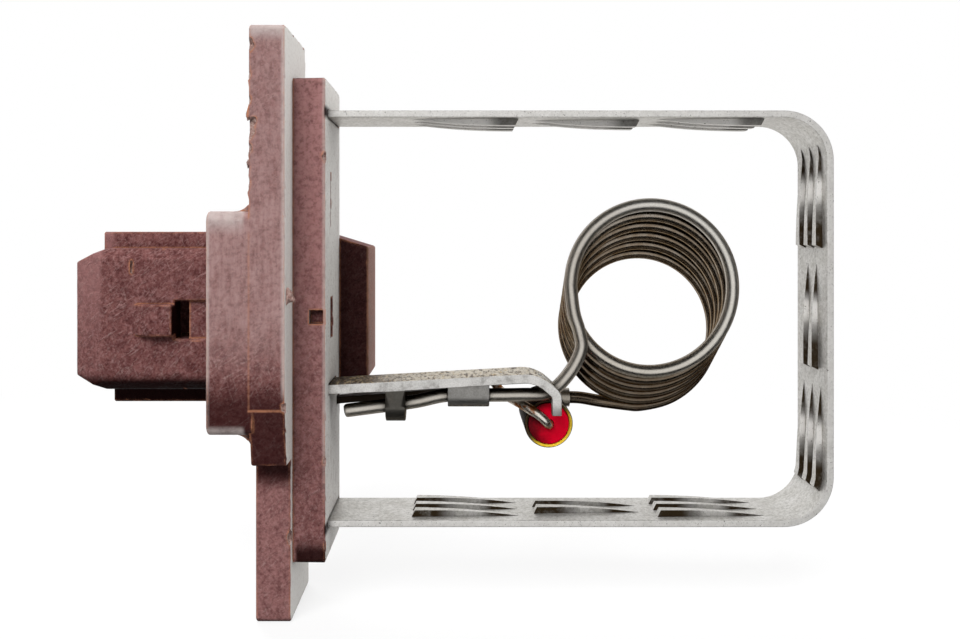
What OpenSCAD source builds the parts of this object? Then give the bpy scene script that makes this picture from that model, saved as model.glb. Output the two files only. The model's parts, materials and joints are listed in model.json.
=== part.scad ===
// Blower motor resistor. A moulded base with a two-blade connector carries a lanced
// resistance ribbon, a wire coil and a thermal cut-off in the air stream of a duct.
// +X points into the duct and +Z along the flange. The origin lies on the connector's
// axis, in the plane where the flange seats on the duct wall.

/* [Flange] */
// Thickness of the flange plate
flange_thick = 4; // [3:0.1:6]
// Height of the upper ear's end above the connector axis
upper_ear_end = 32.8; // [30:0.1:40]
// Drop of the lower ear's end below the connector axis
lower_ear_end = 34.1; // [30:0.1:40]
// Distance of the upper ear's front edge ahead of the connector axis
upper_ear_front = 12.25; // [9:0.05:14]
// Width of the upper ear
upper_ear_width = 12.7; // [9:0.1:16]
// Distance of the lower ear's front edge ahead of the connector axis
lower_ear_front = 8.95; // [8.6:0.05:12]
// Width of the lower ear
lower_ear_width = 11.6; // [9:0.1:16]
// Half height of the flange's straight middle
waist_half_height = 9.5; // [6:0.1:12]
// Half height at which the flange steps in to its ears
hip_half_height = 15.8; // [14.5:0.1:18]
// How far the flange narrows from its middle to the step
hip_setback = 1; // [0.5:0.05:4]
// Corner radius of the ears and of the boss
ear_corner = 0.6; // [0.2:0.1:2]

/* [Collar] */
// Height of the collar block behind the flange
collar_height = 24.7; // [22:0.1:27]
// Depth of the collar block, front to back
collar_depth = 24.5; // [20:0.1:28]
// How far the collar stands out from the flange
collar_rise = 4.7; // [3:0.1:8]
// Corner radius of the collar
collar_corner = 1.2; // [0.5:0.1:4]
// Fillet between the collar and the flange
collar_fillet = 1.8; // [0.4:0.1:2.4]

/* [Connector] */
// Length of the shroud from the collar to its mouth
shroud_length = 17; // [14:0.1:24]
// Height of the shroud
shroud_height = 16.4; // [15:0.1:18]
// Depth of the shroud, front to back
shroud_depth = 14.5; // [13:0.1:17]
// Wall of the shroud
shroud_wall = 2.4; // [2.2:0.1:3]
// Chamfer along the shroud's long edges
shroud_chamfer = 1.2; // [0.3:0.1:2]
// Length of the lead-in taper at the mouth
lead_in_length = 3.65; // [1:0.05:5]
// Depth of the lead-in taper at the mouth
lead_in_depth = 1.6; // [0.4:0.1:2]
// Height of the keying rails above and below the shroud
rail_height = 1.95; // [0.8:0.05:3]
// Width of the keying rails
rail_width = 6.4; // [3:0.1:9]
// Distance of the upper rail's end from the mouth
upper_rail_start = 2.2; // [0:0.1:6]
// Distance of the lower rail's end from the mouth
lower_rail_start = 3.4; // [0:0.1:6]
// Height of the latch lug
lug_height = 3.6; // [2:0.1:5]
// Length of the latch lug's ramp
lug_ramp = 1.9; // [1:0.1:3]
// Length of the latch lug's flat top
lug_flat = 2.9; // [1:0.1:4]
// How far the latch lug stands out
lug_rise = 1.2; // [0.5:0.1:2]
// Distance of the latch window's near edge from the collar
window_offset = 3.5; // [2:0.1:5]
// Length of the latch window
window_length = 1.5; // [1:0.1:3]
// Height of the latch window and of the channel behind it
window_height = 4.4; // [3.2:0.1:6]
// Depth of the channel between the window and the collar
channel_depth = 0.6; // [0.2:0.1:1.5]

/* [Boss] */
// How far the boss stands into the duct from the seat
boss_rise = 3.8; // [3:0.1:6]
// Half height of the boss
boss_half_height = 27.7; // [26:0.1:29]
// Distance of the boss's front face ahead of the connector axis
boss_front = 8.15; // [7.2:0.05:8.5]
// Width of the boss, front to back
boss_width = 11.55; // [11.4:0.05:14]
// Height of the support block at its base, half
block_half_base = 10.6; // [9:0.1:12]
// Height of the support block at its top, half
block_half_top = 8.3; // [5:0.1:9]
// How far the support block stands into the duct
block_rise = 7.5; // [4.5:0.1:12]
// Depth of the support block behind the boss
block_depth = 8.6; // [5:0.1:8.8]
// Side of the square core notch in the boss's front face
notch_side = 1.6; // [0.8:0.1:2]
// Height of the core notch's middle above the connector axis
notch_level = 0.4; // [0:0.1:2]
// Depth of the core notch and of the core slots
core_depth = 0.9; // [0.3:0.1:1.2]
// Height of the core slot beside the notch
core_slot_height = 4.7; // [2:0.1:6]
// Width of the core slot beside the notch
core_slot_width = 2; // [1:0.1:3]
// Height of the narrow core groove's lower end above the connector axis
groove_level = 10.8; // [6:0.1:12]
// Length of the narrow core groove above the slot
groove_length = 6.2; // [4:0.1:9]
// Width of the narrow core groove
groove_width = 0.4; // [0.2:0.1:1]

/* [Ribbon] */
// Thickness of the ribbon
ribbon_thick = 0.8; // [0.5:0.05:1.2]
// Width of the ribbon
ribbon_width = 9; // [8.6:0.1:9.4]
// Distance of the ribbon's front edge ahead of the connector axis
ribbon_front = 6.1; // [5.8:0.05:6.6]
// Reach of the ribbon into the duct, to its outer face
ribbon_reach = 62.6; // [58:0.1:75]
// Half height of the ribbon's loop, to its outer faces
ribbon_half_height = 24.25; // [22.5:0.05:26]
// Outer bend radius of the loop's corners
ribbon_corner = 5.8; // [2:0.1:6]
// Length of a lance
lance_length = 12.6; // [8:0.1:13]
// Width of a lance at its blunt end
lance_width = 1.2; // [0.6:0.05:1.4]
// Width of a lance at its tapered end
lance_tip = 0.3; // [0.2:0.05:0.6]
// How far a lance stands into the loop
lance_rise = 0.75; // [0.5:0.05:1.6]
// Spacing of the lances side by side
lance_pitch = 2.5; // [2:0.1:2.8]
// Spacing of the groups along an arm
group_pitch = 14.5; // [13.5:0.1:15]
// Start of the first group on the upper and lower arms
group_start = 13.4; // [10:0.1:16]

/* [Terminals] */
// Width of a connector blade
blade_width = 6.3; // [4.8:0.1:6.5]
// Thickness of a connector blade and its buried bar
blade_thick = 0.8; // [0.6:0.05:1]
// Distance of each blade from the connector axis
blade_offset = 3; // [2.6:0.1:3.4]
// Length of the blades inside the shroud
blade_length = 10; // [6:0.1:12]
// Chamfer on the tip of a blade
blade_tip_chamfer = 1.2; // [0.4:0.1:2]
// Distance of the buried bars into the boss from the seat
bar_inset = 0.2; // [0:0.1:1]
// Width of the buried bars
bar_width = 4.8; // [3:0.1:5]
// Thickness of the front strip
strip_thick = 1.1; // [0.8:0.05:1.2]
// Width of the front strip
strip_width = 6; // [5.4:0.1:6.2]
// Distance of the front strip's edge ahead of the connector axis
strip_front = 5.8; // [5.6:0.05:6.1]
// Drop of the front strip's root below the connector axis
strip_drop = 8.3; // [7.6:0.1:9]
// Rise of the front strip from its root to its bend
strip_rise = 1.25; // [0:0.05:2]
// Reach of the front strip's straight part into the duct
strip_reach = 26.5; // [25.5:0.1:28]
// Bend radius at the front strip's end
strip_bend = 4; // [2:0.1:4.5]
// Slope of the front strip's end below level
strip_end_slope = 42; // [30:1:60]
// Length of the sloping end of the front strip
strip_end_length = 0.9; // [0.3:0.1:1.5]
// Length of the finger at the front strip's end
finger_length = 1.9; // [0.5:0.1:3]
// Width of the finger in front of the wire
finger_width = 1.4; // [0.8:0.1:1.6]
// Width of the narrow crimp tab
narrow_tab = 2.3; // [1.5:0.1:3]
// Place of the narrow crimp tab's middle
narrow_tab_x = 11.5; // [9:0.1:13]
// Thickness of the narrow crimp tab round its wire
narrow_wall = 1; // [0.4:0.05:1.1]
// Width of the wide crimp tab
wide_tab = 4.9; // [3:0.1:6]
// Place of the wide crimp tab's middle
wide_tab_x = 20.1; // [18:0.1:21]
// Thickness of the wide crimp tab round its wire
wide_wall = 0.4; // [0.3:0.05:0.8]
// Thickness of the rear strip
rear_thick = 0.8; // [0.6:0.05:1]
// Width of the rear strip
rear_width = 2.3; // [2:0.05:2.4]
// Drop of the rear strip's root below the connector axis
rear_drop = 10.8; // [10:0.1:12]
// Rise of the rear strip from its root to its crimp tab
rear_rise = 1.2; // [0.5:0.05:1.5]
// Reach of the rear strip into the duct
rear_reach = 22; // [20:0.1:23]
// Distance between the front strip and the rear strip
strip_spacing = 0.6; // [0.4:0.05:0.8]
// Width of the rear crimp tab
rear_tab = 4; // [2:0.1:5]
// Thickness of the rear crimp tab round its lead
rear_wall = 0.5; // [0.3:0.05:0.6]

/* [Coil] */
// Thickness of the coil's wire
wire_d = 1.6; // [1:0.05:1.7]
// Mean radius of the coil
coil_r = 9.84; // [8.5:0.02:10.5]
// Pitch of the turns, front to back
coil_pitch = 1.86; // [1.8:0.02:2]
// Distance of the first turn's middle beyond the cut-off's axis
coil_offset = 12.3; // [11.7:0.05:15]
// Height of the first turn's middle above the connector axis
coil_z = 3.9; // [2:0.1:5]
// Sag of each turn below the one before it
coil_sag = 1.17; // [0:0.01:1.3]
// Lean of each turn into the duct from the one before it
coil_lean = 0.06; // [0:0.01:0.2]
// Drop of the wire below the strip at the narrow tab
narrow_drop = 1.1; // [0.8:0.1:2]
// Drop of the wire below the strip at the wide tab
wide_drop = 0.5; // [0.4:0.1:1]

/* [Thermal cut-off] */
// Diameter of the case
case_d = 5.85; // [5:0.05:6.2]
// Wall of the case
case_wall = 0.45; // [0.3:0.05:0.6]
// Length of the case
case_length = 10.5; // [9.6:0.1:10.6]
// Thickness of the case's closed end
case_end = 0.7; // [0.5:0.05:1]
// Place of the case along the duct
case_x = 29.8; // [29:0.1:31]
// Drop of the case's axis below the connector axis
case_drop = 13; // [12.8:0.1:15]
// Distance of the case's rim ahead of the connector axis
case_front = 2.25; // [2:0.05:2.4]
// Diameter of the leads
lead_d = 1.15; // [0.8:0.05:1.2]
// Thickness of the sealing resin under its dome
seal_thick = 1.2; // [0.8:0.1:1.5]
// Height of the sealing resin's dome
seal_dome = 0.4; // [0.1:0.05:0.6]
// Length of the ceramic bush
bush_length = 2.4; // [1.5:0.1:2.6]
// Diameter of the front lead's contact head
head_d = 2; // [1.6:0.1:2.4]
// Thickness of the front lead's contact head
head_thick = 1; // [0.9:0.05:1.2]
// Thickness of the star contact
star_thick = 0.25; // [0.15:0.05:0.4]
// Number of fingers on the star contact
star_fingers = 8; // [5:1:12]
// Thickness of each spring disc
disc_thick = 0.3; // [0.2:0.05:0.4]
// Space that the barrel spring takes up
barrel_length = 2; // [1.8:0.1:2.4]
// Thickness of the barrel spring's wire
barrel_wire = 0.4; // [0.3:0.05:0.45]
// Thickness of the trip spring's wire
trip_wire = 0.3; // [0.2:0.05:0.35]
// Wall of the splice sleeve
sleeve_wall = 0.3; // [0.2:0.05:0.6]
// Length of the splice sleeve
sleeve_length = 2.8; // [2.6:0.1:4]

/* [Clearances] */
// Play between the moulding and the metal set in it
mould_gap = 0.05; // [0.02:0.01:0.1]
// Play between a crimp tab and the wire inside it
crimp_gap = 0.15; // [0.1:0.01:0.25]
// Play on each side of the wire in the strip's fork
fork_gap = 0.2; // [0.1:0.01:0.3]
// Play between a lance and the slot it is cut from
lance_gap = 0.1; // [0.05:0.01:0.2]
// Play between the pieces inside the thermal cut-off
stack_gap = 0.05; // [0.02:0.01:0.08]

/* [Hidden] */
$fn = 48;
// Overlap that lets solids of one piece merge
merge = 0.4;
// Sides of the swept wires and flat bars, and steps between two points of a route
wire_sides = 10;
lead_sides = 8;
bar_sides = 4;
route_steps = 5;
// Directions from which the sections of the wires are set out
axis_ref = [0, 1, 0];
front_lead_ref = [0.5, 0.3, 0.8];
rear_lead_ref = [0.4, -0.3, 1];
// Steps of one coil turn and turns of the coil
turn_steps = 30;
coil_turns = 5.75;
// Bow of the coil's front leg under its first turn, in coil radii along the duct and up
leg_bow = [[0.13, -0.8], [0.11, -0.58], [0.04, -0.34]];
// Turns and shape of the cut-off's springs: mean radius as a share of the bore, and swell
barrel_turns = 2.5;
barrel_share = 0.65;
barrel_swell = 0.12;
trip_turns = 2;
// Steps of one lance, the share of its length that steps up and the bow of its fall
lance_steps = 8;
lance_blunt = 0.03;
lance_bow = 2.4;
// Steps of a strip's bend
bend_steps = 6;

wire_r = wire_d / 2;
lead_r = lead_d / 2;
case_r = case_d / 2;
coil_x = case_x + coil_offset;
bore_r = case_r - case_wall;
piece_r = bore_r - stack_gap;

// Main faces along the duct
collar_face = -flange_thick - collar_rise;
mouth = collar_face - shroud_length;
bar_face = bar_inset + blade_thick;
root_face = bar_face + mould_gap;

// Runs of the ribbon along its outer face: an arm, a bend, the end arm and the whole loop
arm_run = ribbon_reach - ribbon_corner - root_face;
bend_run = PI / 2 * ribbon_corner;
end_run = 2 * (ribbon_half_height - ribbon_corner);
loop_run = 2 * arm_run + 2 * bend_run + end_run;

// Main faces front to back
boss_back = boss_width - boss_front;
ribbon_back = ribbon_width - ribbon_front;
strip_back = strip_width - strip_front;
rear_front = strip_back + strip_spacing;
rear_back = rear_front + rear_width;

// Front strip: its level at x, and the wire's place under it and in its fork
function strip_level(x) = -strip_drop
    + strip_rise * (x - boss_rise) / (strip_reach - boss_rise);
crimp_y = -strip_front + narrow_wall + crimp_gap + wire_r;
fork_y = -strip_front + finger_width + fork_gap + wire_r;
narrow_wire_z = strip_level(narrow_tab_x) - strip_thick / 2 - narrow_drop - wire_r;
wide_wire_z = strip_level(wide_tab_x) - strip_thick / 2 - wide_drop - wire_r;

// Rear strip's level end and the cut-off's front lead on top of it
rear_level = rear_rise - rear_drop;
rear_lead_y = rear_back - rear_wall - crimp_gap - lead_r;
rear_lead_z = rear_level + rear_thick / 2 + crimp_gap + lead_r;
rear_tab_x = rear_reach - rear_tab / 2;

// Places along the cut-off's axis, from its rim towards the back
rim_y = -case_front;
case_back = rim_y + case_length;
seal_y = rim_y + stack_gap;
bush_y = seal_y + seal_thick + stack_gap;
head_y = bush_y + bush_length + stack_gap;
star_y = head_y + head_thick + stack_gap;
front_disc_y = star_y + star_thick + stack_gap;
barrel_y = front_disc_y + disc_thick + stack_gap;
rear_disc_y = barrel_y + barrel_length + stack_gap;
pellet_y = rear_disc_y + disc_thick + stack_gap;
pellet_end = case_back - case_end - stack_gap;

// Splice sleeve behind the cut-off
sleeve_r = wire_r + crimp_gap + sleeve_wall;
sleeve_y = case_back + sleeve_r + merge;
sleeve_x = case_x + lead_d;
sleeve_z = -case_drop + case_r / 3;

// Vector helpers
function unit(v) = v / norm(v);
function last_of(list) = list[len(list) - 1];

// Smooth route through hand-set points
function spline_point(a, b, c, d, t) = 0.5 * (
    2 * b + (c - a) * t + (2 * a - 5 * b + 4 * c - d) * t ^ 2
    + (3 * b - a - 3 * c + d) * t ^ 3);
function smooth_route(p) = let (n = len(p)) concat(
    [for (i = [0 : n - 2], k = [0 : route_steps - 1])
        spline_point(p[max(i - 1, 0)], p[i], p[i + 1], p[min(i + 2, n - 1)], k / route_steps)],
    [p[n - 1]]);

// Points of a flat strip of one thickness along a route in a plane
function strip_normal(p, i) = let (
        t = unit(p[min(i + 1, len(p) - 1)] - p[max(i - 1, 0)]))
    [-t.y, t.x];
function band(p, thick) = concat(
    [for (i = [0 : len(p) - 1]) p[i] + strip_normal(p, i) * thick / 2],
    [for (i = [len(p) - 1 : -1 : 0]) p[i] - strip_normal(p, i) * thick / 2]);

// Points of a downward bend that starts at a point and turns between two headings
function bend(start, radius, from, to) = let (
        middle = start + radius * [sin(from), -cos(from)])
    [for (i = [1 : bend_steps])
        let (heading = from + (to - from) * i / bend_steps)
        middle + radius * [-sin(heading), cos(heading)]];

// Extrusions of a flat shape along the row axes
module along_x(from, to) {
    translate([from, 0, 0]) rotate([90, 0, 90]) linear_extrude(to - from) children();
}

module along_y(from, to) {
    translate([0, to, 0]) rotate([90, 0, 0]) linear_extrude(to - from) children();
}

module along_z(from, to) {
    translate([0, 0, from]) linear_extrude(to - from) children();
}

// Box between two corners, grown by a clearance on every side
module box(low, high, gap = 0) {
    translate(low - gap * [1, 1, 1]) cube(high - low + 2 * gap * [1, 1, 1]);
}

module rounded_rect(low, high, r) {
    translate([low.x + r, low.y]) square([high.x - low.x - 2 * r, high.y - low.y]);
    translate([low.x, low.y + r]) square([high.x - low.x, high.y - low.y - 2 * r]);
    for (x = [low.x + r, high.x - r], y = [low.y + r, high.y - r])
        translate([x, y]) circle(r);
}

// Round rod or disc about the cut-off's axis
module on_cutoff(from, to, r) {
    translate([case_x, to, -case_drop]) rotate([90, 0, 0]) cylinder(h = to - from, r = r);
}

// Closed skin over rings that all have the same number of points
module loft(rings, sides) {
    n = len(rings) / sides;
    walls = [for (i = [0 : n - 2], k = [0 : sides - 1])
        let (
            a = i * sides + k,
            b = i * sides + (k + 1) % sides)
        each [[a, a + sides, b], [b, a + sides, b + sides]]];
    caps = [
        [for (k = [0 : sides - 1]) k],
        [for (k = [sides - 1 : -1 : 0]) (n - 1) * sides + k]
    ];
    polyhedron(rings, concat(walls, caps), convexity = 10);
}

// Round wire along a route, with its rings set out from a reference direction
module wire(route, r, sides, ref) {
    n = len(route);
    loft([for (i = [0 : n - 1])
        let (
            t = unit(route[min(i + 1, n - 1)] - route[max(i - 1, 0)]),
            u = unit(cross(t, ref)),
            v = cross(t, u))
        for (k = [0 : sides - 1])
            route[i] + r * (cos(360 * k / sides) * u + sin(360 * k / sides) * v)], sides);
}

// Helical spring about the cut-off's axis, barrelled by a share of its radius
module cutoff_spring(from, to, r, wire_thick, turns, barrel) {
    low = from + wire_thick / 2 + stack_gap;
    travel = to - from - wire_thick - 2 * stack_gap;
    steps = turns * turn_steps / 2;
    route = [for (i = [0 : steps])
        let (
            s = i / steps,
            swell = r * (1 + barrel * sin(180 * s)))
        [case_x + swell * cos(360 * turns * s), low + travel * s,
            -case_drop + swell * sin(360 * turns * s)]];
    wire(route, wire_thick / 2, lead_sides, axis_ref);
}

// Crimp tab from a strip's edge round a wire: from a front edge under it, or from a rear edge over it
module crimp_tab(x, width, place, r, level, thick, turned = false) {
    inner = r + crimp_gap;
    outer = inner + thick;
    along_x(x - width / 2, x + width / 2) translate(place) rotate(turned ? 180 : 0) {
        difference() {
            circle(outer);
            circle(inner);
            translate([-outer, 0]) square([2 * outer, outer]);
        }
        translate([-outer, 0]) square([thick, abs(level - place.y)]);
    }
}

// Outline of the flange seen along the duct
module flange_outline() {
    middle = collar_depth / 2;
    hip = middle - hip_setback;
    polygon([
        [-hip, hip_half_height], [-middle, waist_half_height],
        [-middle, -waist_half_height], [-hip, -hip_half_height],
        [hip, -hip_half_height], [middle, -waist_half_height],
        [middle, waist_half_height], [hip, hip_half_height]
    ]);
    rounded_rect([-upper_ear_front, 0],
        [upper_ear_width - upper_ear_front, upper_ear_end], ear_corner);
    rounded_rect([-lower_ear_front, -lower_ear_end],
        [lower_ear_width - lower_ear_front, 0], ear_corner);
}

// Fillet between the collar and the flange, on one side of the axis
module collar_fillet_bar() {
    reach = collar_depth / 2 - max(collar_corner, hip_setback);
    along_y(-reach, reach) translate([-flange_thick, collar_height / 2]) difference() {
        translate([-collar_fillet, -merge]) square([collar_fillet + merge, collar_fillet + merge]);
        translate([-collar_fillet, collar_fillet]) circle(collar_fillet);
    }
}

// Connector shroud outside, with its chamfered edges and lead-in taper
module shroud_body() {
    half_z = shroud_height / 2;
    half_y = shroud_depth / 2;
    intersection() {
        along_x(mouth, collar_face + merge) polygon([
            [-half_y, half_z - shroud_chamfer], [-half_y + shroud_chamfer, half_z],
            [half_y - shroud_chamfer, half_z], [half_y, half_z - shroud_chamfer],
            [half_y, -half_z + shroud_chamfer], [half_y - shroud_chamfer, -half_z],
            [-half_y + shroud_chamfer, -half_z], [-half_y, -half_z + shroud_chamfer]
        ]);
        along_y(-half_y, half_y) lead_in_outline(half_z);
        along_z(-half_z, half_z) lead_in_outline(half_y);
    }
}

module lead_in_outline(half) {
    polygon([
        [mouth, lead_in_depth - half], [mouth + lead_in_length, -half],
        [collar_face + merge, -half], [collar_face + merge, half],
        [mouth + lead_in_length, half], [mouth, half - lead_in_depth]
    ]);
}

// Keying rail above the shroud
module keying_rail(start) {
    low = shroud_height / 2 - merge;
    box([mouth + start, -rail_width / 2, low],
        [collar_face + merge, rail_width / 2, shroud_height / 2 + rail_height]);
}

// Latch lug on the front of the shroud, with its ramp towards the mouth
module latch_lug() {
    face = -shroud_depth / 2;
    stop = collar_face - window_offset - window_length;
    along_z(-lug_height / 2, lug_height / 2) polygon([
        [stop - lug_flat - lug_ramp, face], [stop - lug_flat, face - lug_rise],
        [stop, face - lug_rise], [stop, face + merge],
        [stop - lug_flat - lug_ramp, face + merge]
    ]);
}

// Connector cavity, latch window and channel
module connector_cuts() {
    face = -shroud_depth / 2;
    inside = [shroud_depth / 2 - shroud_wall, shroud_height / 2 - shroud_wall];
    window_end = collar_face - window_offset;
    along_x(mouth - merge, collar_face) rounded_rect(-inside, inside, ear_corner);
    box([window_end - window_length, face - lug_rise, -window_height / 2],
        [window_end, face + shroud_wall + merge, window_height / 2]);
    box([window_end - merge, face - lug_rise, -window_height / 2],
        [collar_face, face + channel_depth, window_height / 2]);
}

// Support block behind the boss
module support_block() {
    along_y(boss_back - merge, boss_back + block_depth) polygon([
        [-merge, -block_half_base], [0, -block_half_base], [block_rise, -block_half_top],
        [block_rise, block_half_top], [0, block_half_base], [-merge, block_half_base]
    ]);
}

// Core marks that the moulding tool leaves in the boss
module core_marks() {
    slot_y = -boss_front + boss_width / 2 - core_slot_width;
    box([boss_rise - ear_corner / 2 - notch_side, -boss_front - merge, notch_level - notch_side / 2],
        [boss_rise - ear_corner / 2, -boss_front + core_depth, notch_level + notch_side / 2]);
    box([boss_rise - core_depth, slot_y, -core_slot_height / 2],
        [boss_rise + merge, slot_y + core_slot_width, core_slot_height / 2]);
    box([boss_rise - core_depth, slot_y, groove_level],
        [boss_rise + merge, slot_y + groove_width, groove_level + groove_length]);
}

// Bars of the terminals and arms that lie inside the moulding
module blade_bar(level, gap = 0) {
    box([collar_face - blade_length, -blade_width / 2, level - blade_thick / 2],
        [bar_face, blade_width / 2, level + blade_thick / 2], gap);
}

module upper_bar(gap = 0) {
    box([bar_inset, strip_back - bar_width, blade_offset - blade_thick / 2],
        [bar_face, strip_back, ribbon_half_height], gap);
}

module lower_bar(gap = 0) {
    box([bar_inset, strip_back - bar_width, -strip_drop - strip_thick / 2],
        [bar_face, strip_back, -blade_offset + blade_thick / 2], gap);
}

module rear_bar(gap = 0) {
    box([bar_inset, rear_front, -ribbon_half_height],
        [bar_face, rear_back, -rear_drop + rear_thick / 2], gap);
}

// Slots through the boss for the ribbon's two arms and the two strips
module boss_slots() {
    for (side = [-1, 1]) {
        level = side * (ribbon_half_height - ribbon_thick / 2);
        box([root_face, -ribbon_front, level - ribbon_thick / 2],
            [boss_rise + merge, ribbon_back, level + ribbon_thick / 2], mould_gap);
    }
    box([root_face, -strip_front, -strip_drop - strip_thick / 2],
        [boss_rise + merge, strip_back, -strip_drop + strip_thick / 2], mould_gap);
    box([bar_inset, rear_front, -rear_drop - rear_thick / 2],
        [boss_rise + merge, rear_back, -rear_drop + rear_thick / 2], mould_gap);
}

module base_moulding() {
    color("rosybrown") difference() {
        union() {
            along_x(-flange_thick, 0) flange_outline();
            along_x(collar_face, -flange_thick + merge) rounded_rect(
                -[collar_depth, collar_height] / 2, [collar_depth, collar_height] / 2,
                collar_corner);
            for (side = [0, 1]) mirror([0, 0, side]) collar_fillet_bar();
            along_x(-merge, boss_rise) rounded_rect(
                [-boss_front, -boss_half_height], [boss_back, boss_half_height], ear_corner);
            support_block();
            shroud_body();
            keying_rail(upper_rail_start);
            mirror([0, 0, 1]) keying_rail(lower_rail_start);
            latch_lug();
        }
        connector_cuts();
        core_marks();
        boss_slots();
        blade_bar(blade_offset, mould_gap);
        blade_bar(-blade_offset, mould_gap);
        upper_bar(mould_gap);
        lower_bar(mould_gap);
        rear_bar(mould_gap);
    }
}

// Point of the bent ribbon at a run along its outer face, at y and lifted off that face into the loop
function on_ribbon(run, y, lift) = let (
        r = ribbon_corner - lift,
        low = [ribbon_reach - ribbon_corner, y, ribbon_corner - ribbon_half_height],
        high = [low.x, y, -low.z],
        past = run - arm_run,
        over = past - bend_run - end_run)
    past < 0 ? low + [past, 0, -r]
    : past < bend_run ? low + r * [sin(90 * past / bend_run), 0, -cos(90 * past / bend_run)]
    : over < 0 ? low + [r, 0, past - bend_run]
    : over < bend_run ? high + r * [cos(90 * over / bend_run), 0, sin(90 * over / bend_run)]
    : high + [bend_run - over, 0, r];

// Ring of a bar on the ribbon, between two lifts
function ribbon_ring(run, y, half, low, high) = [
    on_ribbon(run, y - half, low), on_ribbon(run, y + half, low),
    on_ribbon(run, y + half, high), on_ribbon(run, y - half, high)
];

// Half width and lift of a lance at a share of its length
function lance_half(u) = (lance_width + (lance_tip - lance_width) * u) / 2;
function lance_lift(u) = u == 0 ? 0 : lance_rise * (1 - u ^ lance_bow);

// Run and y of every lance's blunt end: groups of three, two and three on each arm of the loop
function lance_places() = let (
        span = 2 * group_pitch + lance_length,
        lead = group_start - root_face,
        middle = (ribbon_back - ribbon_front) / 2)
    [for (first = [lead, (loop_run - span) / 2, loop_run - lead - span], group = [0 : 2])
        let (rows = group == 1 ? 2 : 3)
        for (row = [0 : rows - 1])
            [first + group * group_pitch, middle + (row - (rows - 1) / 2) * lance_pitch]];

// One lance, stepped up at its blunt end and falling to its tapered end, with both ends in the ribbon
module lance(run, y) {
    shares = concat([0, lance_blunt], [for (i = [1 : lance_steps]) i / lance_steps]);
    loft(concat(
        ribbon_ring(run - merge, y, lance_half(0) / 2, ribbon_thick / 4, ribbon_thick * 3 / 4),
        [for (u = shares)
            each ribbon_ring(run + lance_length * u, y, lance_half(u),
                lance_lift(u), lance_lift(u) + ribbon_thick)],
        ribbon_ring(run + lance_length + merge, y, lance_half(1) / 2,
            ribbon_thick / 4, ribbon_thick * 3 / 4)), bar_sides);
}

module lance_slot(run, y) {
    loft([for (i = [0 : lance_steps])
        let (u = i / lance_steps)
        each ribbon_ring(run + lance_length * u, y, lance_half(u) + lance_gap,
            -merge, ribbon_thick + merge)], bar_sides);
}

// Outline of the loop, moved in from its outer face and closed beyond the moulding
module loop_outline(inset) {
    rounded_rect([root_face - 2 * ribbon_corner, inset - ribbon_half_height],
        [ribbon_reach - inset, ribbon_half_height - inset], ribbon_corner - inset);
}

module ribbon_loop() {
    color("silver") {
        difference() {
            along_y(-ribbon_front, ribbon_back) difference() {
                loop_outline(0);
                loop_outline(ribbon_thick);
                translate([root_face - 3 * ribbon_corner, -ribbon_half_height])
                    square([3 * ribbon_corner, 2 * ribbon_half_height]);
            }
            for (place = lance_places())
                lance_slot(place.x, place.y);
        }
        for (place = lance_places())
            lance(place.x, place.y);
    }
}

// Route of the front strip in the plane of its profile, out to the finger's end
function strip_route() = let (
        slope = atan2(strip_rise, strip_reach - boss_rise),
        knee = [strip_reach, strip_level(strip_reach)],
        first = bend(knee, strip_bend, slope, -strip_end_slope),
        heading = [cos(strip_end_slope), -sin(strip_end_slope)],
        shoulder = last_of(first) + strip_end_length * heading,
        second = bend(shoulder, strip_thick, -strip_end_slope, -90),
        root = [[root_face, -strip_drop], [boss_rise, -strip_drop]],
        tip = last_of(second) - [0, finger_length])
    concat(root, [knee], first, [shoulder], second, [tip]);

module front_terminal_strip() {
    route = strip_route();
    tip = last_of(route);
    fork_half = wire_r + fork_gap;
    rear_end = case_r - case_drop + stack_gap + merge;
    color("lightgray") {
        difference() {
            along_y(-strip_front, strip_back) polygon(band(route, strip_thick));
            box([strip_reach + strip_bend / 2, fork_y - fork_half, tip.y - strip_thick],
                [tip.x + strip_thick, fork_y + fork_half, 0]);
            box([strip_reach, fork_y, tip.y - strip_thick],
                [tip.x + strip_thick, strip_back + merge, rear_end]);
        }
        crimp_tab(narrow_tab_x, narrow_tab, [crimp_y, narrow_wire_z], wire_r,
            strip_level(narrow_tab_x), narrow_wall);
        crimp_tab(wide_tab_x, wide_tab, [crimp_y, wide_wire_z], wire_r,
            strip_level(wide_tab_x), wide_wall);
    }
}

module rear_terminal_strip() {
    route = [
        [bar_inset, -rear_drop], [boss_rise, -rear_drop],
        [rear_reach - rear_tab, rear_level], [rear_reach, rear_level]
    ];
    color("lightgray") {
        along_y(rear_front, rear_back) polygon(band(route, rear_thick));
        rear_bar();
        crimp_tab(rear_tab_x, rear_tab, [rear_lead_y, rear_lead_z], lead_r,
            rear_level, rear_wall, turned = true);
    }
}

// Blade with its chamfered tip inside the shroud
module blade(level) {
    tip = collar_face - blade_length;
    half = blade_width / 2;
    along_z(level - blade_thick / 2, level + blade_thick / 2) polygon([
        [tip, blade_tip_chamfer - half], [tip + blade_tip_chamfer, -half], [bar_face, -half],
        [bar_face, half], [tip + blade_tip_chamfer, half], [tip, half - blade_tip_chamfer]
    ]);
}

module upper_blade() {
    color("khaki") {
        blade(blade_offset);
        upper_bar();
    }
}

module lower_blade() {
    color("khaki") {
        blade(-blade_offset);
        lower_bar();
    }
}

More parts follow.
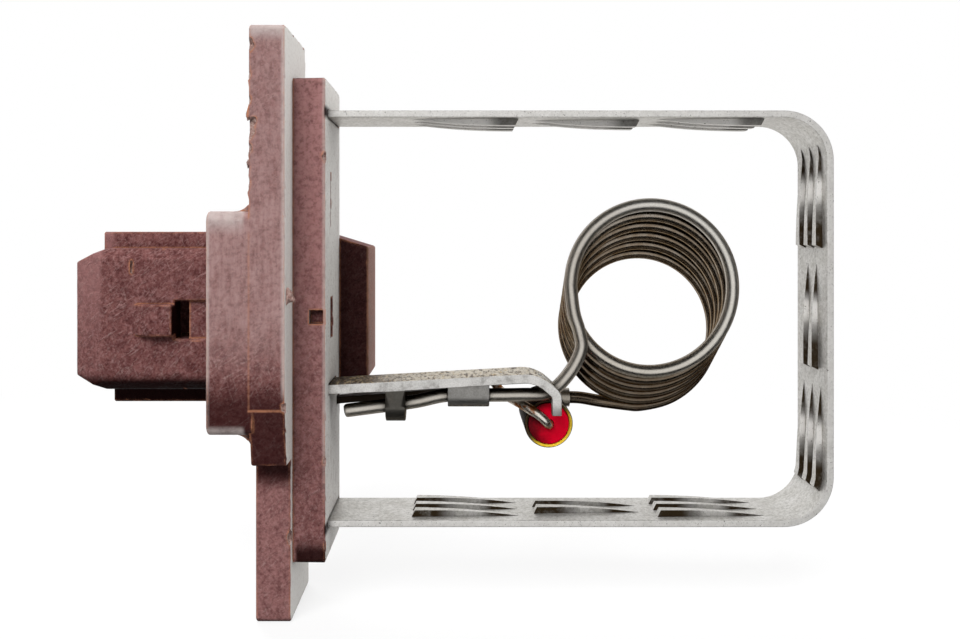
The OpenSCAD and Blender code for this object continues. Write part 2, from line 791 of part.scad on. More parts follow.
// Route of the wire: crimped leg, fork, bowed leg, sagging turns and the leg to the splice
function coil_point(s) = [
    coil_x + coil_lean * s - coil_r * cos(360 * s),
    fork_y + coil_pitch * s,
    coil_z - coil_sag * s + coil_r * sin(360 * s)
];
function coil_route() = let (
        fork_x = last_of(strip_route()).x,
        fork_z = wide_wire_z,
        first = coil_point(0),
        last = coil_point(coil_turns),
        mouth_in = [sleeve_x + sleeve_length, sleeve_y, sleeve_z],
        front_leg = smooth_route(concat([
            [boss_rise + wire_d, crimp_y, narrow_wire_z - wire_r],
            [narrow_tab_x - narrow_tab, crimp_y, narrow_wire_z - 2 * crimp_gap],
            [narrow_tab_x + narrow_tab, crimp_y, narrow_wire_z + 2 * crimp_gap],
            [wide_tab_x - wide_tab / 2, crimp_y, wide_wire_z],
            [wide_tab_x + wide_tab / 2, crimp_y, wide_wire_z],
            [strip_reach, fork_y - fork_gap, fork_z],
            [fork_x - wire_r, fork_y, fork_z + wire_r / 4],
            [fork_x + wire_d, fork_y, fork_z + wire_d + wire_r]],
            [for (b = leg_bow) first + coil_r * [b[0], 0, b[1]]], [first])),
        rear_leg = smooth_route([
            last,
            (last + mouth_in) / 2,
            mouth_in + [wire_d, -wire_r / 2, 0],
            mouth_in,
            mouth_in - [sleeve_length / 2 - wire_r, 0, 0]]))
    concat(front_leg,
        [for (i = [1 : coil_turns * turn_steps - 1]) coil_point(i / turn_steps)],
        rear_leg);

module resistance_coil() {
    color("gray") wire(coil_route(), wire_r, wire_sides, axis_ref);
}

module splice_sleeve() {
    color("silver") translate([sleeve_x, sleeve_y, sleeve_z]) rotate([0, 90, 0]) difference() {
        cylinder(h = sleeve_length, r = sleeve_r);
        translate([0, 0, sleeve_length / 2]) cylinder(h = sleeve_length, r = wire_r + crimp_gap);
        translate([0, 0, -merge]) cylinder(h = sleeve_length, r = lead_r + crimp_gap);
    }
}

module cutoff_case() {
    color("goldenrod") difference() {
        on_cutoff(rim_y, case_back, case_r);
        on_cutoff(rim_y - merge, case_back - case_end, bore_r);
        on_cutoff(rim_y, case_back + merge, lead_r + stack_gap);
    }
}

// Sealing resin: a disc with a shallow dome, pierced by the lead
module cutoff_seal() {
    dome_r = (piece_r ^ 2 + seal_dome ^ 2) / (2 * seal_dome);
    color("crimson") difference() {
        union() {
            on_cutoff(seal_y, seal_y + seal_thick, piece_r);
            intersection() {
                on_cutoff(seal_y - seal_dome, seal_y + seal_thick, piece_r);
                translate([case_x, seal_y - seal_dome + dome_r, -case_drop]) sphere(dome_r);
            }
        }
        on_cutoff(seal_y - seal_dome - merge, seal_y + seal_thick + merge, lead_r + stack_gap);
    }
}

// Route of the front lead: out of the resin, up under the coil's wire and back to the rear strip
function front_lead_route() = let (
        crossing_z = wide_wire_z - wire_r - crimp_gap - lead_r)
    smooth_route([
        [case_x, head_y + stack_gap, -case_drop],
        [case_x, rim_y - lead_r, -case_drop],
        [case_x - lead_d, rim_y - lead_d, -case_drop + lead_d],
        [case_x - case_r, rim_y - lead_r, crossing_z],
        [rear_reach + 2 * lead_d, (rim_y + rear_lead_y) / 2, (crossing_z + rear_lead_z) / 2],
        [rear_reach + lead_d, rear_lead_y, rear_lead_z],
        [rear_reach, rear_lead_y, rear_lead_z],
        [rear_reach - rear_tab - lead_r, rear_lead_y, rear_lead_z]]);

module cutoff_front_lead() {
    color("silver") {
        wire(front_lead_route(), lead_r, lead_sides, front_lead_ref);
        on_cutoff(head_y, head_y + head_thick, head_d / 2);
    }
}

module cutoff_bush() {
    color("ivory") difference() {
        on_cutoff(bush_y, bush_y + bush_length, piece_r);
        on_cutoff(bush_y - merge, bush_y + bush_length + merge, lead_r + stack_gap);
    }
}

module cutoff_trip_spring() {
    color("dimgray") cutoff_spring(head_y - stack_gap, star_y,
        (head_d / 2 + piece_r) / 2, trip_wire, trip_turns, 0);
}

module cutoff_star_contact() {
    notch_r = piece_r * sin(180 / star_fingers) / 2;
    color("silver") difference() {
        on_cutoff(star_y, star_y + star_thick, piece_r);
        for (i = [1 : star_fingers])
            let (turn = 360 * i / star_fingers)
                translate(piece_r * [cos(turn), 0, sin(turn)])
                    on_cutoff(star_y - merge, star_y + star_thick + merge, notch_r);
    }
}

module cutoff_front_disc() {
    color("gray") on_cutoff(front_disc_y, front_disc_y + disc_thick, piece_r);
}

module cutoff_barrel_spring() {
    color("dimgray") cutoff_spring(barrel_y, barrel_y + barrel_length,
        piece_r * barrel_share, barrel_wire, barrel_turns, barrel_swell);
}

module cutoff_rear_disc() {
    color("gray") on_cutoff(rear_disc_y, rear_disc_y + disc_thick, piece_r);
}

module cutoff_pellet() {
    color("tan") on_cutoff(pellet_y, pellet_end, piece_r);
}

function rear_lead_route() = smooth_route([
    [case_x, case_back - case_end, -case_drop],
    [case_x, case_back + lead_r, -case_drop],
    [case_x + lead_r / 2, sleeve_y - lead_r, (sleeve_z - case_drop) / 2],
    [sleeve_x, sleeve_y, sleeve_z],
    [sleeve_x + sleeve_length / 2 - lead_r, sleeve_y, sleeve_z]]);

module cutoff_rear_lead() {
    color("silver") {
        wire(rear_lead_route(), lead_r, lead_sides, rear_lead_ref);
        on_cutoff(case_back + stack_gap, case_back + stack_gap + lead_r / 2, lead_d);
    }
}

base_moulding();
ribbon_loop();
front_terminal_strip();
rear_terminal_strip();
upper_blade();
lower_blade();
resistance_coil();
splice_sleeve();
cutoff_case();
cutoff_seal();
cutoff_front_lead();
cutoff_bush();
cutoff_trip_spring();
cutoff_star_contact();
cutoff_front_disc();
cutoff_barrel_spring();
cutoff_rear_disc();
cutoff_pellet();
cutoff_rear_lead();
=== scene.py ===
"""Looks of the blower motor resistor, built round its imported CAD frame.

Lengths are in millimetres in the named values and in metres in the scene. +X points into the duct,
+Z up along the flange, and the camera looks along +Y.
"""

import functools
import json
import math
from types import SimpleNamespace

import bmesh
import bpy
from mathutils import Euler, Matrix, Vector, noise
from mathutils.bvhtree import BVHTree
from mathutils.geometry import intersect_point_line


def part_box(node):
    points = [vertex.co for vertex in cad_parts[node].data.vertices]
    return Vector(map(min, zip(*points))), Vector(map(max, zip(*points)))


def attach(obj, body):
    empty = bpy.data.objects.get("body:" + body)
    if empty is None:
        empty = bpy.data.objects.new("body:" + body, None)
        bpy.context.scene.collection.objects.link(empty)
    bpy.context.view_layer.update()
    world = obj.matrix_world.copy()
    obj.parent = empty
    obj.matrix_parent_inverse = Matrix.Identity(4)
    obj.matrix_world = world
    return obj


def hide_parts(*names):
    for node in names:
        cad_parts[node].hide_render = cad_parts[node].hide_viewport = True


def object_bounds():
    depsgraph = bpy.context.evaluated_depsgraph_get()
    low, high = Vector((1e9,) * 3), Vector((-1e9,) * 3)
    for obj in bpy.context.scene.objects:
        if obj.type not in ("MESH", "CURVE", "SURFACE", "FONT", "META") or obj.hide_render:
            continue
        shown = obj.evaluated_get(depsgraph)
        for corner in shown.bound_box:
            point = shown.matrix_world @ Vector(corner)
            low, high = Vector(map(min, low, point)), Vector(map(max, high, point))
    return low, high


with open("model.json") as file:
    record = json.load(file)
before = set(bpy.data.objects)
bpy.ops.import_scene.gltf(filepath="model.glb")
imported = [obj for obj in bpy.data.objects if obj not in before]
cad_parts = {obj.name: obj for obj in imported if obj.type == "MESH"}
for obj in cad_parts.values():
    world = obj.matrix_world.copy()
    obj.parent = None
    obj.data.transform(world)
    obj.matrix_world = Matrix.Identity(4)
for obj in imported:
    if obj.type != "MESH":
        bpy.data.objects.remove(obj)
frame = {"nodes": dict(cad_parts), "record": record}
cad_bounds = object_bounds()

MM = 0.001
BODY = "root"

# Camera, found from the photo's vanishing point.
CAMERA_AT = (19.1, -107.25, 9.4)
CAMERA_LENS = 32.625
CAMERA_SHIFT = (0.0208, -0.0849)
CAMERA_PITCH = math.radians(90)
CAMERA_CLIP = (1, 10000)

# Floor: its side, the ring in which its shadow fades, the shadow's share, its own light and its grey.
FLOOR_SIZE = 4000
FLOOR_FADE = (70, 170)
FLOOR_SHADOW = 0.55
FLOOR_LIFT = 0.62
FLOOR_GREY = 0.35

# Even light from all round, and soft boxes: place, aim, width, height, power in watts.
AMBIENT = 0.07
LAMPS = {
    "key": ((-130, -400, 400), (10, 0, 0), 360, 360, 3.6),
    "top": ((20, -40, 520), (15, 0, 0), 500, 400, 0.7),
    "right": ((520, 40, 30), (20, 0, 0), 300, 300, 2.6),
    "back": ((-160, 420, 320), (10, 0, 0), 300, 300, 2.4),
}

# Dark tent round the view axis, seen only in reflections: middle in X and Z, half width, ends along Y, grey.
TENT_MIDDLE = (19, 9)
TENT_HALF = 300
TENT_SPAN = (-470, 180)
TENT_GREY = 0.04

# Mesh work: what counts as one point, where a ray starts, the inner part of an edge, and angles.
WELD = 0.002
RAY_START = 5 * WELD
INNER_SHARE = (0.001, 0.999)
FLAT_ANGLE = math.radians(0.4)
RIBBON_ANGLE = math.radians(30)
SHARP_ANGLE = math.radians(34)
LEAD_ANGLE = math.radians(50)
SOFT_ANGLE = math.radians(60)
SLIGHT_TURN = (math.radians(0.5), math.radians(25))

# Rounding of edges: free room in front of an edge, longest piece of an edge, radii.
EDGE_REACH = 2.6
STRIP_REACH = 0.5
EDGE_STEP = 0.7
BASE_ROUND = 0.22
END_ROUND = 0.5
STRIP_ROUND = 0.10
BARREL_ROUND = 0.55
RIBBON_ROUND = 0.12

# The cut-off's case: rounding of its ends, chamfer inside its mouth, what counts as its outside, and
# how far from its outside and from its back end the bare lip stays.
CASE_ROUND = 0.13
CASE_BACK_ROUND = 3 * CASE_ROUND
CASE_CHAMFER = 0.34
CASE_EDGE = 0.1
LIP_INSET = 0.14
LIP_STOP = 1.0

# Coil wire: its radius, the share of it that smoothing keeps, and the levels of smoothing.
WIRE_RADIUS = 0.8
WIRE_SHARE = 0.936
WIRE_LEVELS = 2

# Wear of the rounded edges: a fine waver, and deeper nicks where their noise passes a level.
WAVER_DEPTH = 0.03
WAVER_SCALE = 1.3
NICK_DEPTH = 0.22
NICK_SCALE = 0.9
NICK_SHIFT = Vector((7, 3, 5))
NICK_LEVEL = 0.25

# Places on the moulding and the front strip, as the CAD has them.
COLLAR_FACE = -8.7
BOSS_FACE = 3.8
BOSS_HALF = 27.7
NARROW_CRIMP = (9.5, 13.5)
STRIP_SLOPE = 0.055
STRIP_START = -8.51

# The cut-off's axis in X and Z, and the ribbon's outline, rim without lances, and lances.
CASE_AXIS = sum(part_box("cutoff_case"), Vector()).xz / 2 / MM
RIBBON_ROOT = 1.1
RIBBON_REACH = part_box("ribbon_loop")[1].x / MM
RIBBON_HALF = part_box("ribbon_loop")[1].z / MM
RIBBON_CORNER = 5.8
RIBBON_RIM = 0.4
LANCE_GROUPS = 3
LANCE_LENGTH = 12.6
LANCE_PITCH = 14.5
LANCE_LEAD = 12.3
LANCE_SLACK = 0.01

# Planes through the holes of the moulding's flat faces: axis and place.
CUT_HEIGHTS = (0.0, 1.4, -0.6, 3.0, -3.0, 13.0, -13.0, 15.5, 23.85, -8.45, -10.8, -23.85)
BASE_CUTS = [(1, 0.0)] + [(2, height) for height in CUT_HEIGHTS]

# Boxes, as two corners, in which the moulding's edges stay sharp: the core notch and the collar's corners.
SHARP_BOXES = [
    ((1.4, -8.2, -0.7), (3.9, -6.0, 1.5)),
    ((-4.05, -12.3, -12.4), (-3.55, -11.0, -9.4)),
    ((-4.05, 11.0, -12.4), (-3.55, 12.3, -9.4)),
    ((-4.05, 11.0, 9.4), (-3.55, 12.3, 12.4)),
]

# Stretch of the upper ear's left edge that kept a ragged line of flash, as two corners, and the line's
# height, noise scales, shift, level and shares.
RAGGED_BOX = ((-4.3, -12.3, 11.8), (-3.6, -11.9, 31.0))
RAGGED_RISE = 0.75
RAGGED_SCALE = 0.5
RAGGED_SHIFT = Vector((11, 4, 8))
RAGGED_LEVEL = 0.20
RAGGED_FINE_SCALE = 2.3
RAGGED_FINE_SHARE = 0.35

# Uneven lumps: fineness, noise scale and how much of a turn goes about each axis.
LUMP_LEVELS = 3
LUMP_SCALE = 1.7
LUMP_SEED_STEP = Vector((1, 2, 3))
LUMP_TURNS = (1.0, 0.7, 1.3)

# Chips broken out of the moulding's edges: place, size, turn in degrees.
CHIP_ROUGH = 0.5
CHIPS = [
    ((-4.0, -12.2, 21.6), (0.9, 0.5, 1.3), 20),
    ((-4.1, -12.3, 19.2), (0.5, 0.4, 0.8), -15),
    ((-4.1, -12.3, 24.6), (0.4, 0.4, 0.6), 40),
    ((-3.9, -12.3, 30.6), (0.5, 0.5, 0.7), 10),
    ((0.1, -8.9, -24.4), (0.5, 0.5, 1.0), 25),
    ((0.0, -12.2, -9.2), (0.4, 0.4, 0.7), 5),
    ((3.8, -8.1, 18.7), (0.4, 0.35, 0.7), -20),
    ((3.8, -8.2, -16.0), (0.35, 0.3, 0.6), 30),
    ((-18.7, -7.2, 6.1), (0.20, 0.35, 0.75), 14),
    ((-25.6, -7.3, -3.0), (0.4, 0.35, 0.6), 0),
    ((-4.1, -12.3, 27.6), (0.3, 0.35, 0.9), -25),
    ((-4.1, -12.3, 15.4), (0.35, 0.35, 0.8), 35),
    ((0.0, 0.55, 31.9), (0.9, 0.8, 1.1), 30),
    ((0.05, 0.45, 29.3), (0.45, 0.5, 0.7), -10),
    ((0.1, -7.9, 32.85), (0.55, 0.9, 0.40), 12),
    ((0.1, -4.3, 32.90), (0.50, 0.7, 0.42), -18),
    ((0.1, -1.6, 32.85), (0.60, 0.8, 0.48), 24),
]

# Flash left on the moulding's edges: place and size.
FLASH_ROUGH = 0.7
FLASH_TURN = 12
FLASH_SEED = 20
FLASHES = [
    ((0.15, -11.65, 2.9), (0.75, 0.42, 0.85)),
    ((-4.05, -11.9, 22.9), (0.28, 0.25, 0.5)),
    ((-4.05, -11.9, 17.6), (0.22, 0.25, 0.45)),
]

# Samples of the nodes that look for gaps and for edges.
NODE_SAMPLES = 6

# Colours, as linear red, green and blue.
MOULDING = SimpleNamespace(
    brown=(0.124, 0.044, 0.042),
    light_brown=(0.222, 0.092, 0.086),
    dark_grain=(0.044, 0.010, 0.010),
    pale_grain=(0.36, 0.205, 0.20),
    dark_fleck=(0.050, 0.012, 0.014),
    pale_fleck=(0.38, 0.225, 0.225),
    scratch=(0.44, 0.31, 0.29),
    # Painted glare over the flange.
    painted_glare=(0.415, 0.262, 0.25),
    # Paler rubbed patches, painted stronger towards the top of boss, mouth and shroud as painted light.
    rubbed=(0.385, 0.195, 0.188),
    # shaded and black: painted shade on hip, boss end, support block, shroud's underside and latch window.
    shaded=(0.026, 0.005, 0.005),
    black=(0.011, 0.0015, 0.0015),
    # Pale powdering, and painted highlights and reflections, on ends and front edges.
    powder_and_highlight=(0.55, 0.47, 0.45),
    # Worn edges and the parting line, and a painted highlight line along the hip's upper edge.
    rim=(0.48, 0.205, 0.115),
    # The air side's dusty film, also painted reflection.
    dust_and_reflection=(0.70, 0.68, 0.65),
    pit=(0.21, 0.135, 0.105),
    warm=(0.44, 0.25, 0.16),
    # Scorch round the ribbon's ends, and painted shade in crevices.
    scorch=(0.012, 0.003, 0.003),
    broken=(0.20, 0.09, 0.075),
    pale_broken=(0.46, 0.33, 0.29),
)
RIBBON = SimpleNamespace(
    steel=(0.55, 0.54, 0.51),
    light_steel=(0.67, 0.66, 0.64),
    dark_roll=(0.30, 0.285, 0.26),
    pale_roll=(0.86, 0.85, 0.83),
    line=(0.46, 0.44, 0.41),
    rim=(0.84, 0.82, 0.79),
    sheared=(0.93, 0.91, 0.88),
    # Heat tint and painted shade at the lances' ends.
    stain=(0.026, 0.017, 0.008),
    speck=(0.07, 0.06, 0.05),
    fine_speck=(0.12, 0.10, 0.09),
    # Painted shade in crevices.
    dirt=(0.03, 0.02, 0.016),
    shine=(0.8, 0.78, 0.75, 1),
)
STRIP = SimpleNamespace(
    plating=(0.64, 0.625, 0.60),
    light_plating=(0.80, 0.785, 0.76),
    soot=(0.040, 0.022, 0.010),
    fleck=(0.46, 0.35, 0.19),
    rubbed=(0.50, 0.455, 0.375),
    crimp=(0.050, 0.044, 0.034),
    cloud=(0.20, 0.175, 0.15),
    tip=(0.20, 0.195, 0.185),
    # Painted shade in crevices, and the rear strip's burnt scale and painted shade.
    burnt=(0.014, 0.009, 0.006),
    shine=(0.35, 0.30, 0.24, 1),
)
COIL = SimpleNamespace(
    wire=(0.70, 0.675, 0.62),
    light_wire=(0.86, 0.835, 0.77),
    tint=(0.255, 0.186, 0.120),
    low=(0.105, 0.076, 0.050),
    patch=(0.16, 0.12, 0.085),
    # Painted shade between the turns.
    dirt=(0.012, 0.007, 0.004),
    shine=(0.12, 0.10, 0.08, 1),
)
LEAD = SimpleNamespace(
    plating=(0.72, 0.68, 0.60),
    light_plating=(0.86, 0.82, 0.74),
    burnt=(0.30, 0.12, 0.045),
    # Painted shade in crevices.
    dirt=(0.03, 0.014, 0.008),
    shine=(0.4, 0.36, 0.3, 1),
)
# dark is painted shade on the left, lit is painted light on the right.
RESIN = SimpleNamespace(dark=(0.120, 0.002, 0.006), lit=(0.90, 0.001, 0.026))
CASE = SimpleNamespace(
    tarnish=(0.10, 0.08, 0.05),
    light_tarnish=(0.18, 0.15, 0.10),
    stain=(0.030, 0.020, 0.012),
    # Painted shade in crevices.
    dirt=(0.02, 0.013, 0.008),
    # Painted highlight on the rim's right side.
    rim=(0.80, 0.74, 0.60),
    shine=(0.08, 0.06, 0.05, 1),
    brass=(0.80, 0.52, 0.012),
    light_brass=(1.0, 0.74, 0.06),
    # The brown brass below is painted shade on the lip's far side.
    shaded_brass=(0.075, 0.045, 0.020),
)

# Materials that hardly show, by slot: darker and lighter colour, roughness from and to, metallic share.
PLAIN = {
    "sleeve_metal": ((0.33, 0.29, 0.24), (0.48, 0.44, 0.385), (0.3, 0.45), 1.0),
    "blade_brass": ((0.52, 0.46, 0.32), (0.66, 0.60, 0.44), (0.3, 0.45), 1.0),
    "spring_steel": ((0.32, 0.32, 0.32), (0.44, 0.44, 0.44), (0.3, 0.45), 1.0),
    "contact_silver": ((0.74, 0.73, 0.70), (0.84, 0.83, 0.80), (0.16, 0.28), 1.0),
    "bush_ceramic": ((0.74, 0.71, 0.62), (0.86, 0.83, 0.75), (0.6, 0.8), 0.0),
    "pellet_compound": ((0.52, 0.39, 0.22), (0.66, 0.52, 0.33), (0.4, 0.6), 0.0),
}
# Their dirt: its tone, as a share of the darker colour, and how much of it there is.
PLAIN_DIRT_TONE = 0.35
PLAIN_DIRT_SHARE = 0.35

# CAD nodes that are shown as they are.
SHOWN_NODES = (
    "upper_blade", "lower_blade",
    "cutoff_trip_spring", "cutoff_barrel_spring", "cutoff_front_disc", "cutoff_rear_disc",
    "cutoff_star_contact", "cutoff_bush", "cutoff_pellet",
)


# Meshes.


def mesh_from(name, bm, materials):
    """A mesh from a bmesh, which is freed."""
    mesh = bpy.data.meshes.new(name)
    bm.to_mesh(mesh)
    bm.free()
    for material in materials:
        mesh.materials.append(material)
    return mesh


def add_object(name, data):
    """Adds a mesh, lamp or camera to the scene."""
    thing = bpy.data.objects.new(name, data)
    bpy.context.scene.collection.objects.link(thing)
    return thing


def new_piece(name, bm, materials, stands_for=None):
    """Makes a piece of the object from a bmesh and lets it ride the one body."""
    bm.normal_update()
    piece = add_object(name, mesh_from(name, bm, materials))
    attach(piece, BODY)
    if stands_for:
        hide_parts(stands_for)
    return piece


def welded(node):
    """A bmesh of a CAD node, with the vertices that its export split joined again."""
    source = frame["nodes"][node].data
    bm = bmesh.new()
    places = [bm.verts.new(vertex.co) for vertex in source.vertices]
    for face in source.polygons:
        bm.faces.new([places[i] for i in face.vertices])
    bmesh.ops.remove_doubles(bm, verts=bm.verts, dist=WELD * MM)
    bmesh.ops.recalc_face_normals(bm, faces=bm.faces)
    return bm


def merge_flat(bm, cuts=()):
    """Joins the triangles of each flat face; cuts, as axis and place, keep faces with holes apart."""
    for axis, place in cuts:
        normal = Vector([float(i == axis) for i in range(3)])
        parts = bm.verts[:] + bm.edges[:] + bm.faces[:]
        made = bmesh.ops.bisect_plane(bm, geom=parts, plane_co=normal * place * MM, plane_no=normal)
        for part in made["geom_cut"]:
            if isinstance(part, bmesh.types.BMEdge):
                part.seam = True
    bmesh.ops.dissolve_limit(
        bm, angle_limit=FLAT_ANGLE, verts=bm.verts, edges=bm.edges, use_dissolve_boundaries=False,
        delimit={"SEAM"},
    )
    bm.normal_update()


def open_edges(bm, reach):
    """Sharp convex edges with nothing of the piece close in front of them."""
    tree = BVHTree.FromBMesh(bm)
    chosen = []
    for edge in bm.edges:
        if not edge.is_manifold or not edge.is_convex or edge.calc_face_angle() < SHARP_ANGLE:
            continue
        out = (edge.link_faces[0].normal + edge.link_faces[1].normal).normalized()
        middle = (edge.verts[0].co + edge.verts[1].co) / 2
        if tree.ray_cast(middle + out * RAY_START * MM, out, reach * MM)[0] is None:
            chosen.append(edge)
    return chosen


def crowded(edge, room):
    """True when another corner of a face beside the edge lies too close to it for a bevel."""
    start, end = (v.co for v in edge.verts)
    for face in edge.link_faces:
        for vertex in face.verts:
            nearest, share = intersect_point_line(vertex.co, start, end)
            if INNER_SHARE[0] < share < INNER_SHARE[1] and (nearest - vertex.co).length < room * MM:
                return True
    return False


def inside(vertex, box):
    """True when a vertex lies in a box, given as two corners."""
    return all(low <= c / MM <= high for c, low, high in zip(vertex.co, *box))


def whole_lines(edges):
    """Drops each edge that bends slightly into an edge that is not in the list."""
    kept = set(edges)
    waiting = list(edges)
    while waiting:
        edge = waiting.pop()
        if edge not in kept:
            continue
        for vertex in edge.verts:
            ahead = vertex.co - edge.other_vert(vertex).co
            for other in vertex.link_edges:
                turn = ahead.angle(other.other_vert(vertex).co - vertex.co)
                if other not in kept and SLIGHT_TURN[0] < turn < SLIGHT_TURN[1]:
                    kept.discard(edge)
                    waiting += vertex.link_edges[:] + edge.other_vert(vertex).link_edges[:]
    return [edge for edge in edges if edge in kept]


def divide(edges, step):
    """Splits edges in halves until none is longer than step."""
    waiting, done = list(edges), []
    while waiting:
        edge = waiting.pop()
        if edge.calc_length() > step * MM:
            other, _ = bmesh.utils.edge_split(edge, edge.verts[0], 0.5)
            waiting += [edge, other]
        else:
            done.append(edge)
    return done


def round_edges(bm, edges, radius, segments):
    """Bevels edges and returns the vertices that lie inside the bevel."""
    made = bmesh.ops.bevel(
        bm, geom=edges, offset=radius * MM, offset_type="OFFSET", segments=segments,
        profile=0.5, affect="EDGES", clamp_overlap=False, loop_slide=False,
    )
    faces = set(made["faces"])
    bm.normal_update()
    return [v for v in made["verts"] if v.is_valid and all(f in faces for f in v.link_faces)]


def wear(vertices):
    """Nibbles the middle of a bevel: a fine waver everywhere and a few deeper nicks."""
    for vertex in vertices:
        place = vertex.co / MM
        waver = 0.5 + 0.5 * noise.noise(place * WAVER_SCALE)
        nick = max(0.0, noise.noise(place * NICK_SCALE + NICK_SHIFT) - NICK_LEVEL)
        vertex.co -= vertex.normal * MM * (WAVER_DEPTH * waver + NICK_DEPTH * nick)


def swell(vertices):
    """Raises a ragged line of flash, in places, on an edge that faces -X."""
    for vertex in vertices:
        place = vertex.co / MM
        bulge = max(0.0, noise.noise(place * RAGGED_SCALE + RAGGED_SHIFT) + RAGGED_LEVEL)
        fine = noise.noise(place * RAGGED_FINE_SCALE)
        vertex.co.x -= MM * RAGGED_RISE * bulge * (1 - RAGGED_FINE_SHARE + RAGGED_FINE_SHARE * fine)


def shade(piece, angle=SHARP_ANGLE):
    """Smooth shading with sharp edges kept, weighted so that flat faces stay flat."""
    for face in piece.data.polygons:
        face.use_smooth = True
    piece.data.set_sharp_from_angle(angle=angle)
    weighted = piece.modifiers.new("weighted", "WEIGHTED_NORMAL")
    weighted.keep_sharp = True


def lump(place, size, turn, seed, rough):
    """A bmesh of an uneven lump, for a chip or a bit of flash."""
    bm = bmesh.new()
    bmesh.ops.create_icosphere(bm, subdivisions=LUMP_LEVELS, radius=1.0)
    spin = Euler([math.radians(turn * share) for share in LUMP_TURNS]).to_matrix()
    for vertex in bm.verts:
        waver = noise.noise(vertex.co * LUMP_SCALE + LUMP_SEED_STEP * seed)
        swollen = vertex.co * (1 + rough * waver)
        sized = Vector(a * b for a, b in zip(spin @ swollen, size))
        vertex.co = (sized + Vector(place)) * MM
    return bm


def cut(piece, cutters):
    """Cuts the cutters out of a piece for good; what they leave takes their material."""
    for index, (bm, material) in enumerate(cutters):
        tool = add_object(f"cutter_{index}", mesh_from("cutter", bm, [material]))
        modifier = piece.modifiers.new("cut", "BOOLEAN")
        modifier.operation = "DIFFERENCE"
        modifier.solver = "EXACT"
        modifier.material_mode = "TRANSFER"
        modifier.object = tool
        graph = bpy.context.evaluated_depsgraph_get()
        piece.data = bpy.data.meshes.new_from_object(piece.evaluated_get(graph))
        piece.modifiers.clear()
        bpy.data.objects.remove(tool)


# Materials. In each, g is the graph that is being built.


